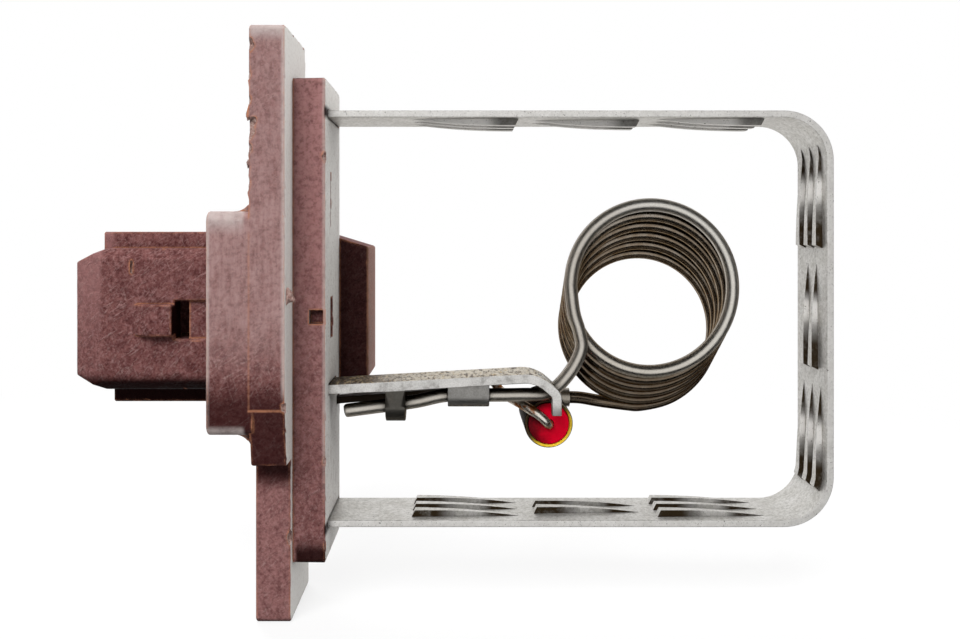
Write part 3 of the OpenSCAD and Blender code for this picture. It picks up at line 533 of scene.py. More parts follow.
class Graph:
    """The node tree of a new material or world, with short calls for the nodes used here."""

    def __init__(self, name, owners=None):
        self.owner = (bpy.data.materials if owners is None else owners).new(name)
        self.owner.use_nodes = True
        self.tree = self.owner.node_tree
        self.tree.nodes.clear()

    @functools.cached_property
    def place(self):
        """The object's own coordinates in millimetres."""
        node = self.add("ShaderNodeVectorMath", operation="SCALE")
        self.put(node.inputs[0], self.add("ShaderNodeTexCoord").outputs["Object"])
        self.put(node.inputs["Scale"], 1 / MM)
        return node.outputs[0]

    def add(self, kind, **settings):
        node = self.tree.nodes.new(kind)
        for key, value in settings.items():
            setattr(node, key, value)
        return node

    def put(self, socket, value):
        """Links a socket to another, or sets it to a constant."""
        if isinstance(value, bpy.types.NodeSocket):
            self.tree.links.new(value, socket)
        else:
            socket.default_value = value

    def stretched(self, scale, turn=(0, 0, 0)):
        """Places scaled along each axis, after a turn in degrees."""
        node = self.add("ShaderNodeMapping", vector_type="TEXTURE")
        self.put(node.inputs["Vector"], self.place)
        self.put(node.inputs["Rotation"], [math.radians(a) for a in turn])
        self.put(node.inputs["Scale"], [1 / factor for factor in scale])
        return node.outputs[0]

    def part(self, vector, name):
        node = self.add("ShaderNodeSeparateXYZ")
        self.put(node.inputs[0], vector)
        return node.outputs[name]

    def axis(self, name):
        return self.part(self.place, name)

    def facing(self, name):
        """One part of the surface normal in the row frame."""
        return self.part(self.add("ShaderNodeNewGeometry").outputs["Normal"], name)

    def attribute(self, name):
        return self.add("ShaderNodeAttribute", attribute_name=name).outputs["Fac"]

    def noise(self, scale, detail=4.0, rough=0.55, vector=None):
        node = self.add("ShaderNodeTexNoise")
        self.put(node.inputs["Vector"], self.place if vector is None else vector)
        self.put(node.inputs["Scale"], scale)
        self.put(node.inputs["Detail"], detail)
        self.put(node.inputs["Roughness"], rough)
        return node.outputs["Fac"]

    def math(self, operation, a, b=0.0, clamp=False):
        node = self.add("ShaderNodeMath", operation=operation, use_clamp=clamp)
        self.put(node.inputs[0], a)
        self.put(node.inputs[1], b)
        return node.outputs[0]

    def chain(self, operation, values):
        """Takes a math operation through all values, from the first on."""
        return functools.reduce(lambda a, b: self.math(operation, a, b), values)

    def times(self, *values):
        return self.chain("MULTIPLY", values)

    def plus(self, *values):
        return self.chain("ADD", values)

    def most(self, *values):
        return self.chain("MAXIMUM", values)

    def less(self, a, b, clamp=False):
        return self.math("SUBTRACT", a, b, clamp)

    def step(self, value, low, high, to_low=0.0, to_high=1.0):
        """A smooth rise of value from low to high."""
        node = self.add("ShaderNodeMapRange", interpolation_type="SMOOTHSTEP")
        self.put(node.inputs["Value"], value)
        for key, number in zip(("From Min", "From Max", "To Min", "To Max"), (low, high, to_low, to_high)):
            self.put(node.inputs[key], number)
        return node.outputs[0]

    def band(self, value, low, high, soft):
        """1 between low and high, with soft ends."""
        return self.times(
            self.step(value, low - soft, low + soft), self.step(value, high + soft, high - soft),
        )

    def mix(self, share, a, b):
        """A colour from a, at share 0, to b, at share 1."""
        node = self.add("ShaderNodeMix", data_type="RGBA")
        self.put(node.inputs[0], share)
        self.put(node.inputs[6], a if isinstance(a, bpy.types.NodeSocket) else (*a, 1))
        self.put(node.inputs[7], b if isinstance(b, bpy.types.NodeSocket) else (*b, 1))
        return node.outputs[2]

    def coat(self, colour, paint, *shares):
        """Lays a paint over a colour, by the product of its shares."""
        return self.mix(self.times(*shares), colour, paint)

    def crevice(self, distance):
        """1 in narrow gaps and 0 in the open."""
        node = self.add("ShaderNodeAmbientOcclusion", samples=NODE_SAMPLES)
        self.put(node.inputs["Distance"], distance * MM)
        return self.less(1.0, node.outputs["AO"], clamp=True)

    def edges(self, radius):
        """1 on worn edges and 0 on flat faces."""
        rounded = self.add("ShaderNodeBevel", samples=NODE_SAMPLES)
        self.put(rounded.inputs["Radius"], radius * MM)
        node = self.add("ShaderNodeVectorMath", operation="DOT_PRODUCT")
        self.put(node.inputs[0], rounded.outputs[0])
        self.put(node.inputs[1], self.add("ShaderNodeNewGeometry").outputs["Normal"])
        return self.step(node.outputs["Value"], 0.996, 0.90)

    def bump(self, height, depth, strength):
        node = self.add("ShaderNodeBump")
        self.put(node.inputs["Height"], height)
        self.put(node.inputs["Distance"], depth * MM)
        self.put(node.inputs["Strength"], strength)
        return node.outputs[0]

    def end(self, shader, output="ShaderNodeOutputMaterial"):
        """Ends the tree with a shader and returns the material or world."""
        self.put(self.add(output).inputs["Surface"], shader.outputs[0])
        return self.owner

    def surface(self, colour, roughness, normal, metallic=0.0, **fixed):
        """Ends the tree with a surface; fixed values go on the shader's own sockets."""
        shader = self.add("ShaderNodeBsdfPrincipled")
        self.put(shader.inputs["Metallic"], metallic)
        self.put(shader.inputs["Base Color"], colour)
        self.put(shader.inputs["Roughness"], roughness)
        self.put(shader.inputs["Normal"], normal)
        for key, value in fixed.items():
            self.put(shader.inputs[key.replace("_", " ")], value)
        return self.end(shader)


def moulding_fields(g):
    """Places, noises and regions that the layers of the moulding share."""
    x, y, z = (g.axis(name) for name in "XYZ")
    slants = [g.stretched((0.55, 1.6, 4.6), (0, turn, 0)) for turn in (-32, -54, 68)]
    return SimpleNamespace(
        x=x, y=y, z=z,
        broad=g.noise(0.30, 3),
        mottle=g.noise(0.9, 6, 0.65),
        grain=g.noise(3.6, 5, 0.75),
        fleck=g.noise(1.9, 4, 0.62),
        streak=g.noise(1.0, 4, 0.6, g.stretched((2.2, 2.2, 0.35))),
        strokes=[g.step(g.noise(1.0, 3, 0.6, slant), 0.55, 0.74) for slant in slants],
        flange=g.band(x, COLLAR_FACE - 0.1, 0.1, 0.4),
        shroud=g.step(x, COLLAR_FACE + 0.1, COLLAR_FACE - 0.2),
        air_side=g.times(g.step(g.facing("X"), 0.7, 0.95), g.step(x, -0.6, -0.2), g.step(x, 7.2, 6.2)),
    )


def granular(g, at):
    """The moulding's own colour: mottled, with dark and pale grains and long scratches."""
    colour = g.mix(g.step(at.mottle, 0.34, 0.64), MOULDING.brown, MOULDING.light_brown)
    colour = g.coat(colour, MOULDING.dark_grain, g.step(at.grain, 0.50, 0.34), 0.58)
    colour = g.coat(colour, MOULDING.pale_grain, g.step(at.grain, 0.52, 0.70), 0.56)
    colour = g.coat(colour, MOULDING.dark_fleck, g.step(at.fleck, 0.50, 0.34), 0.40)
    colour = g.coat(colour, MOULDING.pale_fleck, g.step(at.fleck, 0.55, 0.66), 0.26)
    for stroke, share in zip(at.strokes, (0.46, 0.40, 0.34)):
        colour = g.coat(colour, MOULDING.scratch, stroke, g.step(at.grain, 0.36, 0.56), share)
    return colour


def glare_and_pale_patches(g, at, colour):
    """Painted glare on the flange, and paler rubbed patches on lower ear, boss, mouth and shroud; on boss,
    mouth and shroud they are painted stronger towards the top as painted light.
    """
    patchy = g.times(
        g.step(at.broad, 0.34, 0.62, 0.72, 0.96),
        g.step(at.streak, 0.34, 0.62, 0.64, 1.0),
        g.step(at.fleck, 0.36, 0.58, 0.70, 1.0),
    )
    # Painted glare over the flange, from its middle upwards.
    glare_share = g.times(at.flange, g.step(at.z, -8.0, 2.0), g.step(at.z, 11.0, 19.0, 1.0, 0.80))
    colour = g.coat(colour, MOULDING.painted_glare, glare_share, patchy)
    lower_ear = g.times(
        at.flange, g.step(at.z, -17.0, -19.0),
        g.step(at.mottle, 0.3, 0.6, 0.28, 0.46), g.step(at.fleck, 0.32, 0.66, 0.60, 1.25),
    )
    # On boss, mouth and shroud the pale patches are painted stronger towards the top: painted light.
    boss = g.times(
        g.band(at.x, 0.2, BOSS_FACE - 0.1, 0.2), g.step(at.y, -7.6, -8.1),
        g.step(at.z, -26.0, 26.0, 0.20, 0.84), g.step(at.fleck, 0.32, 0.66, 0.45, 1.15),
    )
    mouth = g.times(g.step(at.x, -21.8, -22.6), g.step(at.z, -6.0, 7.0, 0.10, 0.50))
    shroud = g.times(
        at.shroud, g.step(at.z, -7.0, 5.0, 0.15, 0.70),
        g.most(at.strokes[0], at.strokes[1]), g.step(at.fleck, 0.36, 0.60, 0.4, 1.0),
    )
    for patch in (lower_ear, boss, mouth, shroud):
        colour = g.mix(patch, colour, MOULDING.rubbed)
    return colour


def painted_shade_layer(g, at, colour):
    """Painted shade where the light hardly reaches: hip, boss end, support block, shroud's underside, latch
    window.
    """
    hip = g.times(at.flange, g.step(at.z, -5.0, -9.4), g.step(at.z, -19.4, -17.2), 0.82)
    colour = g.mix(hip, colour, MOULDING.shaded)
    boss_end = g.times(g.step(at.x, 0.2, 0.6), g.step(at.z, -24.4, -26.6), 0.92)
    block = g.times(
        g.step(at.y, 2.4, 3.2), g.step(at.x, 1.0, 2.0), g.step(g.facing("Y"), -0.3, -0.8),
        g.step(at.z, 9.0, 1.0, 0.95, 0.99),
    )
    underside = g.times(at.shroud, g.step(at.z, -5.9, -7.4), 0.97)
    window = g.times(g.band(at.x, -13.72, -12.22, 0.03), g.band(at.z, -2.20, 2.20, 0.03), 0.97)
    # Painted shade, nearly black, on boss end, support block, shroud's underside and latch window.
    for part in (boss_end, block, underside, window):
        colour = g.mix(part, colour, MOULDING.black)
    return colour


def powder_highlights_and_rims(g, at, colour):
    """Pale powdering with painted highlights and reflections on ends and front edges, bare rims along worn
    edges and the parting line, and a painted highlight line along the hip's upper edge.
    """
    collar = g.band(at.x, COLLAR_FACE - 0.1, -4.6, 0.3)
    front = g.step(at.y, -11.4, -11.9)
    # Ear top, collar top and end, and the front edges of flange and collar: pale powdering, and painted
    # highlights and reflections.
    ear_top = g.times(at.flange, g.step(at.z, 30.6, 32.4))
    collar_top = g.times(collar, g.step(at.z, 9.4, 11.8))
    collar_end = g.times(collar, g.step(at.z, -11.0, -11.8))
    flange_edge = g.times(
        g.step(at.x, -0.62, -0.15), g.step(at.x, 0.4, 0.2), front, g.step(at.z, -9.0, -6.5),
    )
    collar_edge = g.times(
        g.step(at.x, -8.15, -8.55), g.step(at.x, -8.95, -8.8), front,
        g.step(at.z, -9.0, -4.0, 0.3, 1.0),
    )
    boss_edge = g.times(
        g.step(at.x, 3.25, 3.65), g.step(at.x, 4.1, 3.9), g.step(at.y, -7.4, -7.9),
        g.step(at.z, -24.0, -12.0, 0.0, 0.8),
    )
    powder_and_highlight = g.most(ear_top, collar_top, collar_end, flange_edge, collar_edge, boss_edge)
    colour = g.coat(colour, MOULDING.powder_and_highlight, powder_and_highlight, g.step(at.mottle, 0.30, 0.60, 0.50, 0.85))

    seam = g.times(
        g.band(at.x, -4.1, -3.9, 0.12), g.band(at.z, -9.6, 10.0, 0.5), g.step(at.y, -11.6, -12.0), 0.5,
    )
    # A painted highlight line along the hip's upper edge.
    hip_edge_highlight = g.times(g.band(at.z, -9.65, -9.40, 0.12), g.band(at.x, -4.1, 0.1, 0.1))
    rims = g.most(g.edges(0.45), g.times(g.most(seam, hip_edge_highlight), 0.8))
    return g.coat(colour, MOULDING.rim, rims, g.step(at.mottle, 0.36, 0.58, 0.50, 1.0))


def dust_pits_and_shade(g, at, colour):
    """A dusty film on the air side that is also painted reflection, pits, a warm block face, scorch round
    the ribbon's ends, and painted shade in gaps.
    """
    # Dusty film on the air side, which is also painted reflection.
    dust_and_reflection = g.step(g.noise(2.2, 5, 0.65), 0.28, 0.50, 0.76, 1.0)
    colour = g.coat(colour, MOULDING.dust_and_reflection, at.air_side, dust_and_reflection)
    pits = g.most(g.step(g.noise(3.2, 4, 0.7), 0.57, 0.66), g.step(at.streak, 0.60, 0.70))
    colour = g.coat(colour, MOULDING.pit, at.air_side, pits, g.step(at.x, 3.4, 3.6, 0.30, 0.62))
    colour = g.coat(colour, MOULDING.warm, g.step(at.x, 7.2, 7.4), 0.30)
    scorch = g.times(
        g.step(at.x, 3.5, 3.7), g.step(at.x, 4.1, 4.0),
        g.band(g.math("ABSOLUTE", at.z), 23.2, 24.5, 0.35), g.step(at.y, -3.0, -6.0, 0.35, 0.97),
    )
    # Scorch round the ribbon's ends, and painted shade in crevices.
    dirt = g.most(scorch, g.times(g.step(g.crevice(1.8), 0.38, 0.92), 0.85))
    return g.mix(dirt, colour, MOULDING.scorch)


def phenolic():
    """Brown filled thermoset: granular, scratched, with painted glare on the flange, painted shade and
    highlights, and dusty towards the air with painted reflection.
    """
    g = Graph("phenolic")
    at = moulding_fields(g)
    colour = granular(g, at)
    for layer in (glare_and_pale_patches, painted_shade_layer, powder_highlights_and_rims, dust_pits_and_shade):
        colour = layer(g, at, colour)
    smooth = g.less(1.0, g.times(g.most(at.flange, at.air_side), 0.75))
    scored = g.plus(g.times(at.strokes[0], 0.35), g.times(at.strokes[1], 0.35))
    relief = g.plus(g.times(at.grain, 0.5), g.times(at.fleck, 0.9), scored)
    return g.surface(
        colour, g.step(at.mottle, 0.3, 0.7, 0.42, 0.60), g.bump(g.times(relief, smooth), 0.18, 0.9),
        Specular_IOR_Level=0.04,
    )


def broken_phenolic():
    """The paler, rougher inside of the moulding, where a chip has come off."""
    g = Graph("broken_phenolic")
    grain = g.noise(4.0, 5, 0.7)
    colour = g.mix(g.step(grain, 0.35, 0.65), MOULDING.broken, MOULDING.pale_broken)
    return g.surface(colour, g.step(grain, 0.3, 0.7, 0.6, 0.8), g.bump(grain, 0.08, 0.7))


def rolled_steel(g, lines):
    """The ribbon's own colour: cloudy, flecked by rolling, with fine lines along it."""
    rolled = g.noise(2.4, 6, 0.75)
    colour = g.mix(g.step(g.noise(0.4, 4, 0.6), 0.3, 0.7), RIBBON.steel, RIBBON.light_steel)
    colour = g.coat(colour, RIBBON.dark_roll, g.step(rolled, 0.52, 0.36), 0.55)
    colour = g.coat(colour, RIBBON.pale_roll, g.step(rolled, 0.50, 0.64), 0.50)
    return g.coat(colour, RIBBON.line, lines, 0.25)


def ribbon_metal():
    """Rolled ribbon: satin, with dark specks, bright sheared edges, lances dark at their ends from heat tint
    and painted shade, and painted shade in crevices.
    """
    g = Graph("ribbon_steel")
    x, z = g.axis("X"), g.axis("Z")
    lines = g.noise(1.0, 3, 0.6, g.stretched((0.5, 9.0, 0.5)))
    colour = rolled_steel(g, lines)

    along = g.attribute("along")
    lanced = g.step(along, -0.30, -0.02)
    sheared = g.step(g.math("ABSOLUTE", g.facing("Y")), 0.35, 0.70)
    far_arm = g.step(x, 42.0, 60.0)
    upper_arm = g.times(g.step(z, 20.0, 21.0), g.step(x, 58.0, 57.0))
    patchy = g.step(g.noise(0.8, 4, 0.65), 0.30, 0.52, 0.78, 1.0)
    # The lances' dark ends: heat tint and painted shade.
    ends = g.most(g.step(along, 0.52, 0.22), g.band(along, 0.68, 0.97, 0.08))
    heat_and_shade = g.most(g.times(ends, patchy), g.step(far_arm, 0.0, 1.0, 0.16, 0.0))
    spared = g.times(upper_arm, g.step(along, 0.14, 0.36, 0.50, 0.96))
    stain = g.times(lanced, sheared, heat_and_shade, g.less(1.0, spared))
    clean = g.most(
        g.times(upper_arm, g.step(along, 0.10, 0.34)), g.times(far_arm, g.band(along, 0.40, 0.72, 0.12)),
    )
    bright = g.times(lanced, sheared, clean, 0.85)
    colour = g.coat(colour, RIBBON.rim, sheared, g.less(1.0, lanced), 0.60)
    colour = g.mix(bright, colour, RIBBON.sheared)
    colour = g.mix(stain, colour, RIBBON.stain)
    colour = g.coat(colour, RIBBON.speck, g.step(g.noise(2.6, 2, 0.5), 0.70, 0.76), 0.8)
    colour = g.coat(colour, RIBBON.fine_speck, g.step(g.noise(6.5, 1, 0.5), 0.65, 0.75), 0.6)
    # Painted shade in crevices, kept lighter in the lances' middles and on the upper arm.
    quiet = g.most(
        g.times(far_arm, g.band(along, 0.44, 0.70, 0.10), 0.75), g.times(upper_arm, 0.70),
    )
    colour = g.coat(colour, RIBBON.dirt, g.step(g.crevice(1.6), 0.45, 1.0), g.less(0.85, quiet))

    out_x = g.times(g.facing("X"), g.less(x, RIBBON_REACH / 2), 2 / RIBBON_REACH)
    out_z = g.times(g.facing("Z"), z, 1 / RIBBON_HALF)
    satin = g.most(
        g.step(g.plus(out_x, out_z), 0.3, 0.7, 0.0, 0.55),
        g.step(g.facing("Z"), -0.6, -0.2, 0.0, 0.35),
        g.times(bright, 0.80),
    )
    roughness = g.plus(g.step(lines, 0.3, 0.7, 0.34, 0.46), g.times(stain, 0.45))
    return g.surface(
        colour, roughness, g.bump(lines, 0.01, 0.35), metallic=g.less(1.0, g.most(stain, satin), clamp=True),
        Specular_IOR_Level=0.15, Specular_Tint=RIBBON.shine,
    )


def strip_metal(name, burnt):
    """Plated strip: bright sheared edges, sooty flat faces, dark crimps and painted shade in crevices; burnt
    is its black share, burnt scale and painted shade.
    """
    g = Graph(name)
    x, z = g.axis("X"), g.axis("Z")
    cloud = g.noise(0.8, 5, 0.65)
    grain = g.noise(6.0, 3, 0.6)
    colour = g.mix(g.step(grain, 0.3, 0.7), STRIP.plating, STRIP.light_plating)

    fleck = g.step(g.noise(1.0, 4, 0.65, g.stretched((2.8, 0.8, 2.8))), 0.52, 0.60)
    sooty = g.coat(STRIP.soot, STRIP.fleck, fleck, 0.75)
    rubbed = g.times(g.step(x, 7.5, 13.0), g.step(g.facing("Z"), 0.5, 0.8))
    pitted = g.step(g.noise(1.0, 4, 0.7, g.stretched((2.4, 0.7, 2.4))), 0.40, 0.54, 0.0, 0.90)
    sooty = g.coat(sooty, STRIP.rubbed, rubbed, pitted)
    flat = g.step(g.math("ABSOLUTE", g.facing("Z")), 0.6, 0.85)
    covered = g.times(flat, g.step(g.noise(3.2, 6, 0.75), 0.36, 0.54, 0.70, 1.0))
    colour = g.mix(covered, colour, sooty)

    level = g.less(z, g.plus(g.times(x, STRIP_SLOPE), STRIP_START))
    below = g.times(g.step(level, -0.52, -0.66), g.step(x, 27.0, 25.0))
    colour = g.coat(colour, STRIP.crimp, below, g.step(x, 15.0, 14.0, 0.62, 0.92))
    colour = g.coat(colour, STRIP.cloud, g.step(cloud, 0.54, 0.70), 0.34)
    colour = g.coat(colour, STRIP.tip, g.step(x, 28.4, 29.2), g.step(z, -9.7, -11.0), 0.62)
    # Painted shade in crevices, and the black share, which on the rear strip is burnt scale and painted
    # shade.
    dirt = g.times(g.step(g.crevice(1.4), 0.4, 0.95), 0.85)
    scale = g.step(cloud, 0.35, 0.60, burnt, 0.95 * burnt)
    colour = g.mix(g.most(dirt, scale), colour, STRIP.burnt)
    return g.surface(
        colour, g.step(cloud, 0.3, 0.7, 0.34, 0.52), g.bump(grain, 0.02, 0.4),
        metallic=g.less(0.9, g.times(covered, 0.8)), Specular_IOR_Level=0.06, Specular_Tint=STRIP.shine,
    )


def coil_metal():
    """Drawn resistance wire: silvery in front, browned by heat towards the back, darker towards the bottom
    at the back, and painted shade between its turns.
    """
    g = Graph("resistance_wire")
    y = g.axis("Y")
    cloud = g.noise(0.7, 5, 0.62)
    fine = g.noise(5.0, 4, 0.6)
    back = g.step(y, -3.9, -1.2)
    crimped = g.step(g.axis("X"), 42.0, 34.0, 0.02, 0.36)
    tint = g.times(g.step(cloud, 0.35, 0.62, 0.80, 1.0), g.most(g.times(back, 0.94), crimped))
    colour = g.mix(g.step(fine, 0.3, 0.7), COIL.wire, COIL.light_wire)
    colour = g.mix(tint, colour, COIL.tint)
    colour = g.coat(colour, COIL.low, g.step(y, -2.4, -0.6), g.step(g.axis("Z"), -3.0, -9.0), 0.62)
    colour = g.coat(colour, COIL.patch, g.step(g.noise(1.7, 5, 0.65), 0.56, 0.68), 0.14)
    # Painted shade between the turns.
    colour = g.coat(colour, COIL.dirt, g.step(g.crevice(2.6), 0.17, 0.58), 0.96)
    roughness = g.less(g.step(fine, 0.3, 0.7, 0.32, 0.42), g.times(back, 0.14))
    return g.surface(
        colour, roughness, g.bump(fine, 0.005, 0.10), metallic=1.0, Specular_Tint=COIL.shine,
    )


def lead_wire():
    """Plated copper lead with brown patches where the plating has burnt, and painted shade in its crevices.
    """
    g = Graph("lead_metal")
    patch = g.noise(0.9, 4, 0.6)
    fine = g.noise(5.0, 3, 0.6)
    colour = g.mix(g.step(fine, 0.3, 0.7), LEAD.plating, LEAD.light_plating)
    colour = g.mix(g.step(patch, 0.46, 0.60), colour, LEAD.burnt)
    # Painted shade in crevices.
    colour = g.coat(colour, LEAD.dirt, g.step(g.crevice(1.8), 0.35, 0.9), 0.85)
    return g.surface(
        colour, g.step(patch, 0.3, 0.7, 0.24, 0.42), g.bump(fine, 0.012, 0.3),
        metallic=1.0, Specular_Tint=LEAD.shine,
    )


def red_resin():
    """Glossy red sealing resin, cloudy, painted lit bright red on the right and painted shaded dark red on
    the left.
    """
    g = Graph("sealing_resin")
    cloud = g.noise(0.55, 3, 0.5)
    fine = g.noise(3.0, 3, 0.5)
    # Painted light: lit on the right side, shaded on the left.
    lit = g.step(g.plus(g.axis("X"), g.times(cloud, 2.4)), 29.2, 31.4)
    return g.surface(
        g.mix(lit, RESIN.dark, RESIN.lit), g.step(fine, 0.3, 0.7, 0.22, 0.34), g.bump(cloud, 0.05, 0.25),
        Specular_IOR_Level=0.05,
    )


def bright_case():
    """Outside of the cut-off's case: tarnished, with drawn lines along it, painted shade in crevices and a
    painted highlight on the rim's right.
    """
    g = Graph("cutoff_case")
    fine = g.noise(1.0, 3, 0.6, g.stretched((8.0, 0.6, 8.0)))
    colour = g.mix(g.step(fine, 0.3, 0.7), CASE.tarnish, CASE.light_tarnish)
    colour = g.mix(g.step(g.noise(0.8, 4, 0.6), 0.30, 0.56, 0.55, 1.0), colour, CASE.stain)
    # Painted shade in crevices.
    colour = g.coat(colour, CASE.dirt, g.step(g.crevice(1.8), 0.4, 0.95), 0.8)
    # Painted highlight on the front of the rim's right side.
    right = g.step(g.axis("X"), CASE_AXIS[0] - 0.6, CASE_AXIS[0] + 1.6)
    colour = g.coat(colour, CASE.rim, right, g.step(g.facing("Y"), -0.2, -0.6))
    return g.surface(
        colour, g.step(fine, 0.3, 0.7, 0.30, 0.42), g.bump(fine, 0.008, 0.3),
        metallic=1.0, Specular_Tint=CASE.shine,
    )


def yellow_lip():
    """Bare brass inside the case's rim: yellow where the light catches it, brown on the far side."""
    g = Graph("cutoff_brass")
    fine = g.noise(2.5, 3, 0.6)
    right = g.less(g.axis("X"), CASE_AXIS[0])
    down = g.less(CASE_AXIS[1], g.axis("Z"))
    # Painted light: the bare brass is yellow where lit, with painted shade brown on the far side.
    lit = g.step(g.plus(g.times(right, 0.65), g.times(down, 0.75)), -0.5, 1.5)
    bare = g.mix(g.step(fine, 0.3, 0.7), CASE.brass, CASE.light_brass)
    colour = g.mix(lit, CASE.shaded_brass, bare)
    return g.surface(colour, g.step(fine, 0.3, 0.7, 0.28, 0.40), g.bump(fine, 0.01, 0.3), metallic=0.35)


def plain_material(name, low, high, rough, metallic):
    """A material that hardly shows: fine grain, a little dirt."""
    g = Graph(name)
    fine = g.noise(4.0, 4, 0.6)
    colour = g.mix(g.step(fine, 0.3, 0.7), low, high)
    dirt = tuple(c * PLAIN_DIRT_TONE for c in low)
    colour = g.coat(colour, dirt, g.step(g.noise(0.8, 4, 0.6), 0.5, 0.7), PLAIN_DIRT_SHARE)
    return g.surface(colour, g.step(fine, 0.3, 0.7, *rough), g.bump(fine, 0.012, 0.35), metallic=metallic)


# Pieces of the object.


def round_boss_ends(bm):
    """Moves what lies past an arc at the boss's two air-side ends in onto that arc."""
    for vertex in bm.verts:
        past = Vector((vertex.co.x / MM - BOSS_FACE, abs(vertex.co.z) / MM - BOSS_HALF))
        over = past + Vector((END_ROUND, END_ROUND))
        if min(over) > 0 and over.length > END_ROUND:
            inward = (over.normalized() * END_ROUND - over) * MM
            vertex.co.x += inward.x
            vertex.co.z += math.copysign(inward.y, vertex.co.z)


def build_base(material, broken):
    """The moulding: its edges are rounded and worn, then chips are broken out of them."""
    bm = welded("base_moulding")
    merge_flat(bm, BASE_CUTS)
    roomy = [
        e for e in open_edges(bm, EDGE_REACH)
        if not crowded(e, 2 * BASE_ROUND)
        and not any(all(inside(v, box) for v in e.verts) for box in SHARP_BOXES)
    ]
    rounded = round_edges(bm, divide(whole_lines(roomy), EDGE_STEP), BASE_ROUND, segments=2)
    wear(rounded)
    swell([v for v in rounded if inside(v, RAGGED_BOX)])
    round_boss_ends(bm)
    bmesh.ops.triangulate(bm, faces=[f for f in bm.faces if len(f.verts) > 4])
    piece = new_piece("moulding", bm, [material, broken], "base_moulding")
    cut(piece, [(lump(*chip, seed, CHIP_ROUGH), broken) for seed, chip in enumerate(CHIPS)])
    shade(piece)
    for index, (place, size) in enumerate(FLASHES):
        bm = lump(place, size, FLASH_TURN * index, FLASH_SEED + index, FLASH_ROUGH)
        shade(new_piece(f"flash_{index + 1}", bm, [broken]), SOFT_ANGLE)


def ribbon_run(x, z):
    """Length along the ribbon's outer face from the lower arm's root to x, z, and its whole length."""
    side = RIBBON_REACH - RIBBON_CORNER
    height = RIBBON_HALF - RIBBON_CORNER
    half_loop = side - RIBBON_ROOT + math.pi / 2 * RIBBON_CORNER + height
    if x < side:
        from_middle = half_loop - (x - RIBBON_ROOT)
    elif abs(z) < height:
        from_middle = abs(z)
    else:
        from_middle = height + RIBBON_CORNER * math.atan2(abs(z) - height, x - side)
    return half_loop + math.copysign(from_middle, z), 2 * half_loop


def lance_share(run, total):
    """Share of a lance's length at a run: 0 at its blunt end, 1 at its tip, -1 between groups."""
    span = (LANCE_GROUPS - 1) * LANCE_PITCH + LANCE_LENGTH
    for first in (LANCE_LEAD, (total - span) / 2, total - LANCE_LEAD - span):
        for group in range(LANCE_GROUPS):
            share = (run - first - group * LANCE_PITCH) / LANCE_LENGTH
            if -LANCE_SLACK < share < 1 + LANCE_SLACK:
                return share
    return -1.0


def build_ribbon(material):
    """The ribbon with rounded long edges; its attribute along tells the material where the lances are."""
    bm = welded("ribbon_loop")
    merge_flat(bm)
    low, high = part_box("ribbon_loop")
    sides = [
        e for e in bm.edges
        if e.is_manifold and e.is_convex and e.calc_face_angle() > SHARP_ANGLE
        and any(all(abs(v.co.y - side) < WELD * MM for v in e.verts) for side in (low.y, high.y))
    ]
    round_edges(bm, sides, RIBBON_ROUND, segments=2)
    piece = new_piece("ribbon", bm, [material], "ribbon_loop")
    along = piece.data.attributes.new("along", "FLOAT", "POINT")
    for vertex, value in zip(piece.data.vertices, along.data):
        rim = min(vertex.co.y - low.y, high.y - vertex.co.y) / MM < RIBBON_RIM
        value.value = -1.0 if rim else lance_share(*ribbon_run(vertex.co.x / MM, vertex.co.z / MM))
    shade(piece, RIBBON_ANGLE)


def build_strip(node, name, material, barrel=None):
    """A terminal strip with rounded edges; barrel is the span along X of a crimp that is rolled rounder."""
    bm = welded(node)
    merge_flat(bm)
    if barrel:
        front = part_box(node)[0].y + WELD * MM
        corners = [
            e for e in bm.edges
            if e.is_convex and e.calc_face_angle(0.0) > SHARP_ANGLE
            and all(v.co.y < front and barrel[0] < v.co.x / MM < barrel[1] for v in e.verts)
            and abs(e.verts[0].co.z - e.verts[1].co.z) > abs(e.verts[0].co.x - e.verts[1].co.x)
        ]
        round_edges(bm, corners, BARREL_ROUND, segments=4)
    round_edges(bm, open_edges(bm, STRIP_REACH), STRIP_ROUND, segments=2)
    shade(new_piece(name, bm, [material], node))


def build_coil(material):
    """The coil, swollen by what smoothing takes away and then smoothed round."""
    bm = welded("resistance_coil")
    bmesh.ops.join_triangles(
        bm, faces=bm.faces, angle_face_threshold=SOFT_ANGLE, angle_shape_threshold=math.pi,
    )
    bm.normal_update()
    for vertex, normal in [(v, v.normal.copy()) for v in bm.verts]:
        vertex.co += normal * MM * WIRE_RADIUS * (1 / WIRE_SHARE - 1)
    piece = new_piece("coil", bm, [material], "resistance_coil")
    for face in piece.data.polygons:
        face.use_smooth = True
    smooth = piece.modifiers.new("smooth", "SUBSURF")
    smooth.levels = smooth.render_levels = WIRE_LEVELS


def from_case_axis(place):
    """Distance of a place from the cut-off's axis."""
    return math.hypot(place.x - CASE_AXIS[0] * MM, place.z - CASE_AXIS[1] * MM)


def case_ring(bm, y, outer, on_outside):
    """Sharp edges of the case in one plane across it, on its outside or on its inside."""
    return [
        e for e in bm.edges
        if e.calc_face_angle(0.0) >= SHARP_ANGLE
        and all(abs(v.co.y - y) <= WELD * MM for v in e.verts)
        and (from_case_axis(e.verts[0].co) > outer - CASE_EDGE * MM) == on_outside
    ]


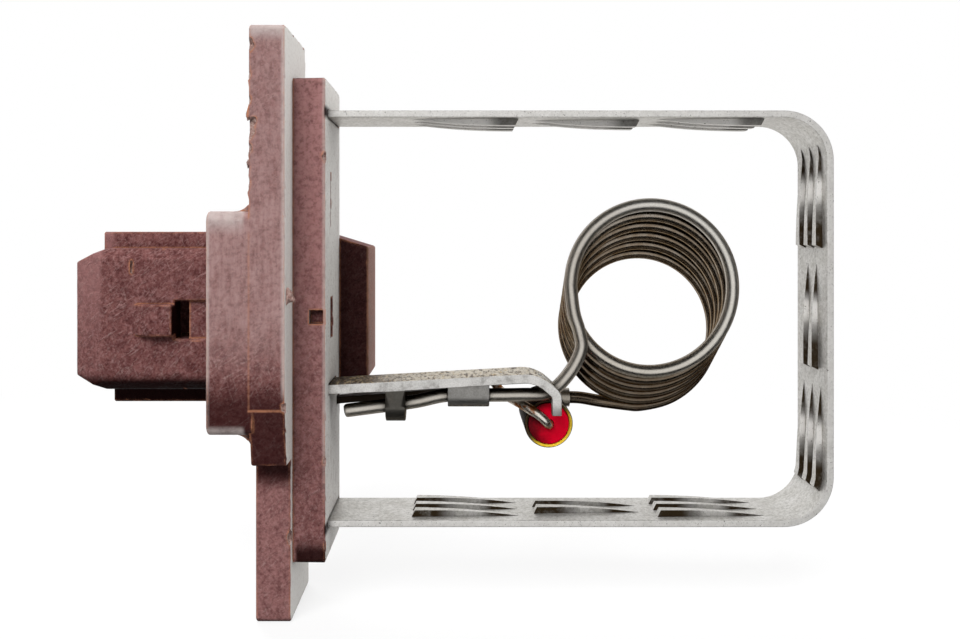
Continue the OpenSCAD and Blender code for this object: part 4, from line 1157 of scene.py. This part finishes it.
def build_case(bright, lip):
    """The cut-off's case, with rounded ends and a bare lip inside its mouth."""
    bm = welded("cutoff_case")
    merge_flat(bm)
    low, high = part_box("cutoff_case")
    outer = (high.x - low.x) / 2
    round_edges(bm, case_ring(bm, low.y, outer, True), CASE_ROUND, segments=3)
    round_edges(bm, case_ring(bm, low.y, outer, False), CASE_CHAMFER, segments=2)
    round_edges(bm, case_ring(bm, high.y, outer, True), CASE_BACK_ROUND, segments=3)
    for face in bm.faces:
        middle = face.calc_center_median()
        within = from_case_axis(middle) < outer - LIP_INSET * MM
        face.material_index = int(within and middle.y < high.y - LIP_STOP * MM)
    shade(new_piece("cutoff_can", bm, [bright, lip], "cutoff_case"))


def build_smooth(node, name, material, angle):
    """A piece that is its CAD node with smooth shading."""
    shade(new_piece(name, welded(node), [material], node), angle)


def dress(node, materials):
    """Gives a CAD node that is shown as it is the material of its slot."""
    slot = next(s["material_slot"] for s in frame["record"]["subparts"] if s["node"] == node)
    mesh = frame["nodes"][node].data
    mesh.materials.clear()
    mesh.materials.append(materials[slot])


def build_object():
    """All pieces of the resistor."""
    build_base(phenolic(), broken_phenolic())
    build_ribbon(ribbon_metal())
    build_strip("front_terminal_strip", "front_strip", strip_metal("strip_steel", burnt=0.0), NARROW_CRIMP)
    # The rear strip is black from burnt scale and painted shade.
    build_strip("rear_terminal_strip", "rear_strip", strip_metal("burnt_and_shaded_strip_steel", burnt=0.98))
    build_coil(coil_metal())
    build_case(bright_case(), yellow_lip())
    build_smooth("cutoff_seal", "seal", red_resin(), SOFT_ANGLE)
    lead = lead_wire()
    build_smooth("cutoff_front_lead", "front_lead", lead, LEAD_ANGLE)
    build_smooth("cutoff_rear_lead", "rear_lead", lead, LEAD_ANGLE)
    plain = {slot: plain_material(slot, *look) for slot, look in PLAIN.items()}
    build_smooth("splice_sleeve", "sleeve", plain["sleeve_metal"], SHARP_ANGLE)
    for node in SHOWN_NODES:
        dress(node, plain)


# Studio.


def seen_white(g):
    """1 for the rays that show the background: camera, glossy and transmission rays."""
    path = g.add("ShaderNodeLightPath")
    return g.most(*(path.outputs[f"Is {kind} Ray"] for kind in ("Camera", "Glossy", "Transmission")))


def floor_material():
    """White to the eye far from the object, and near it a grey that takes a shadow."""
    g = Graph("floor")
    seen = seen_white(g)
    matt = g.add("ShaderNodeBsdfDiffuse")
    g.put(matt.inputs["Color"], (FLOOR_GREY, FLOOR_GREY, FLOOR_GREY, 1))
    glow = g.add("ShaderNodeEmission")
    g.put(glow.inputs["Strength"], g.times(seen, FLOOR_LIFT))
    lit = g.add("ShaderNodeAddShader")
    g.put(lit.inputs[0], matt.outputs[0])
    g.put(lit.inputs[1], glow.outputs[0])
    spread = g.add("ShaderNodeVectorMath", operation="LENGTH")
    g.put(spread.inputs[0], g.place)
    away = g.step(spread.outputs["Value"], *FLOOR_FADE, 1 - FLOOR_SHADOW)
    blend = g.add("ShaderNodeMixShader")
    g.put(blend.inputs[0], g.times(seen, away))
    g.put(blend.inputs[1], lit.outputs[0])
    g.put(blend.inputs[2], g.add("ShaderNodeEmission").outputs[0])
    return g.end(blend)


def build_floor():
    """A wide floor under the object, which reflections don't see."""
    low, _ = cad_bounds
    bm = bmesh.new()
    bmesh.ops.create_grid(bm, x_segments=1, y_segments=1, size=FLOOR_SIZE * MM / 2)
    floor = add_object("floor", mesh_from("floor", bm, [floor_material()]))
    floor.location.z = low.z
    floor.visible_glossy = False


def build_world():
    """White to the rays that show the background, and a faint even light to all others."""
    g = Graph("studio", bpy.data.worlds)
    strength = g.add("ShaderNodeMapRange")
    g.put(strength.inputs["Value"], seen_white(g))
    g.put(strength.inputs["To Min"], AMBIENT)
    g.put(strength.inputs["To Max"], 1.0)
    background = g.add("ShaderNodeBackground")
    g.put(background.inputs["Color"], (1, 1, 1, 1))
    g.put(background.inputs["Strength"], strength.outputs[0])
    bpy.context.scene.world = g.end(background, "ShaderNodeOutputWorld")


def build_lamps():
    """The soft boxes, which reflections don't see."""
    for name, (place, aim, width, height, power) in LAMPS.items():
        lamp = bpy.data.lights.new(name, "AREA")
        lamp.shape = "RECTANGLE"
        lamp.size = width * MM
        lamp.size_y = height * MM
        lamp.energy = power
        holder = add_object(name, lamp)
        holder.location = Vector(place) * MM
        holder.rotation_euler = (Vector(aim) - Vector(place)).to_track_quat("-Z", "Y").to_euler()
        holder.visible_glossy = False


def tent_material():
    """Matt and nearly black."""
    g = Graph("tent")
    shader = g.add("ShaderNodeBsdfPrincipled")
    g.put(shader.inputs["Base Color"], (TENT_GREY, TENT_GREY, TENT_GREY, 1))
    g.put(shader.inputs["Roughness"], 1.0)
    return g.end(shader)


def build_tent():
    """Black flags at the sides, so that round metal has dark edges; nothing but a reflection sees them."""
    low, high = TENT_SPAN
    bm = bmesh.new()
    corners = [
        (TENT_MIDDLE[0] + TENT_HALF * x, TENT_MIDDLE[1] + TENT_HALF * z)
        for x, z in ((-1, -1), (-1, 1), (1, 1), (1, -1))
    ]
    near = [bm.verts.new(Vector((x, low, z)) * MM) for x, z in corners]
    far = [bm.verts.new(Vector((x, high, z)) * MM) for x, z in corners]
    for i in range(len(corners)):
        bm.faces.new((near[i - 1], near[i], far[i], far[i - 1]))
    tent = add_object("tent", mesh_from("tent", bm, [tent_material()]))
    tent.visible_camera = tent.visible_diffuse = tent.visible_shadow = False


def build_camera():
    """The camera, level and shifted as the photo's was."""
    lens = bpy.data.cameras.new("camera")
    lens.lens = CAMERA_LENS
    lens.shift_x, lens.shift_y = CAMERA_SHIFT
    lens.clip_start, lens.clip_end = (distance * MM for distance in CAMERA_CLIP)
    holder = add_object("camera", lens)
    holder.location = Vector(CAMERA_AT) * MM
    holder.rotation_euler = (CAMERA_PITCH, 0, 0)
    bpy.context.scene.camera = holder


build_object()
build_floor()
build_world()
build_lamps()
build_tent()
build_camera()
bpy.context.scene.view_settings.view_transform = "Standard"
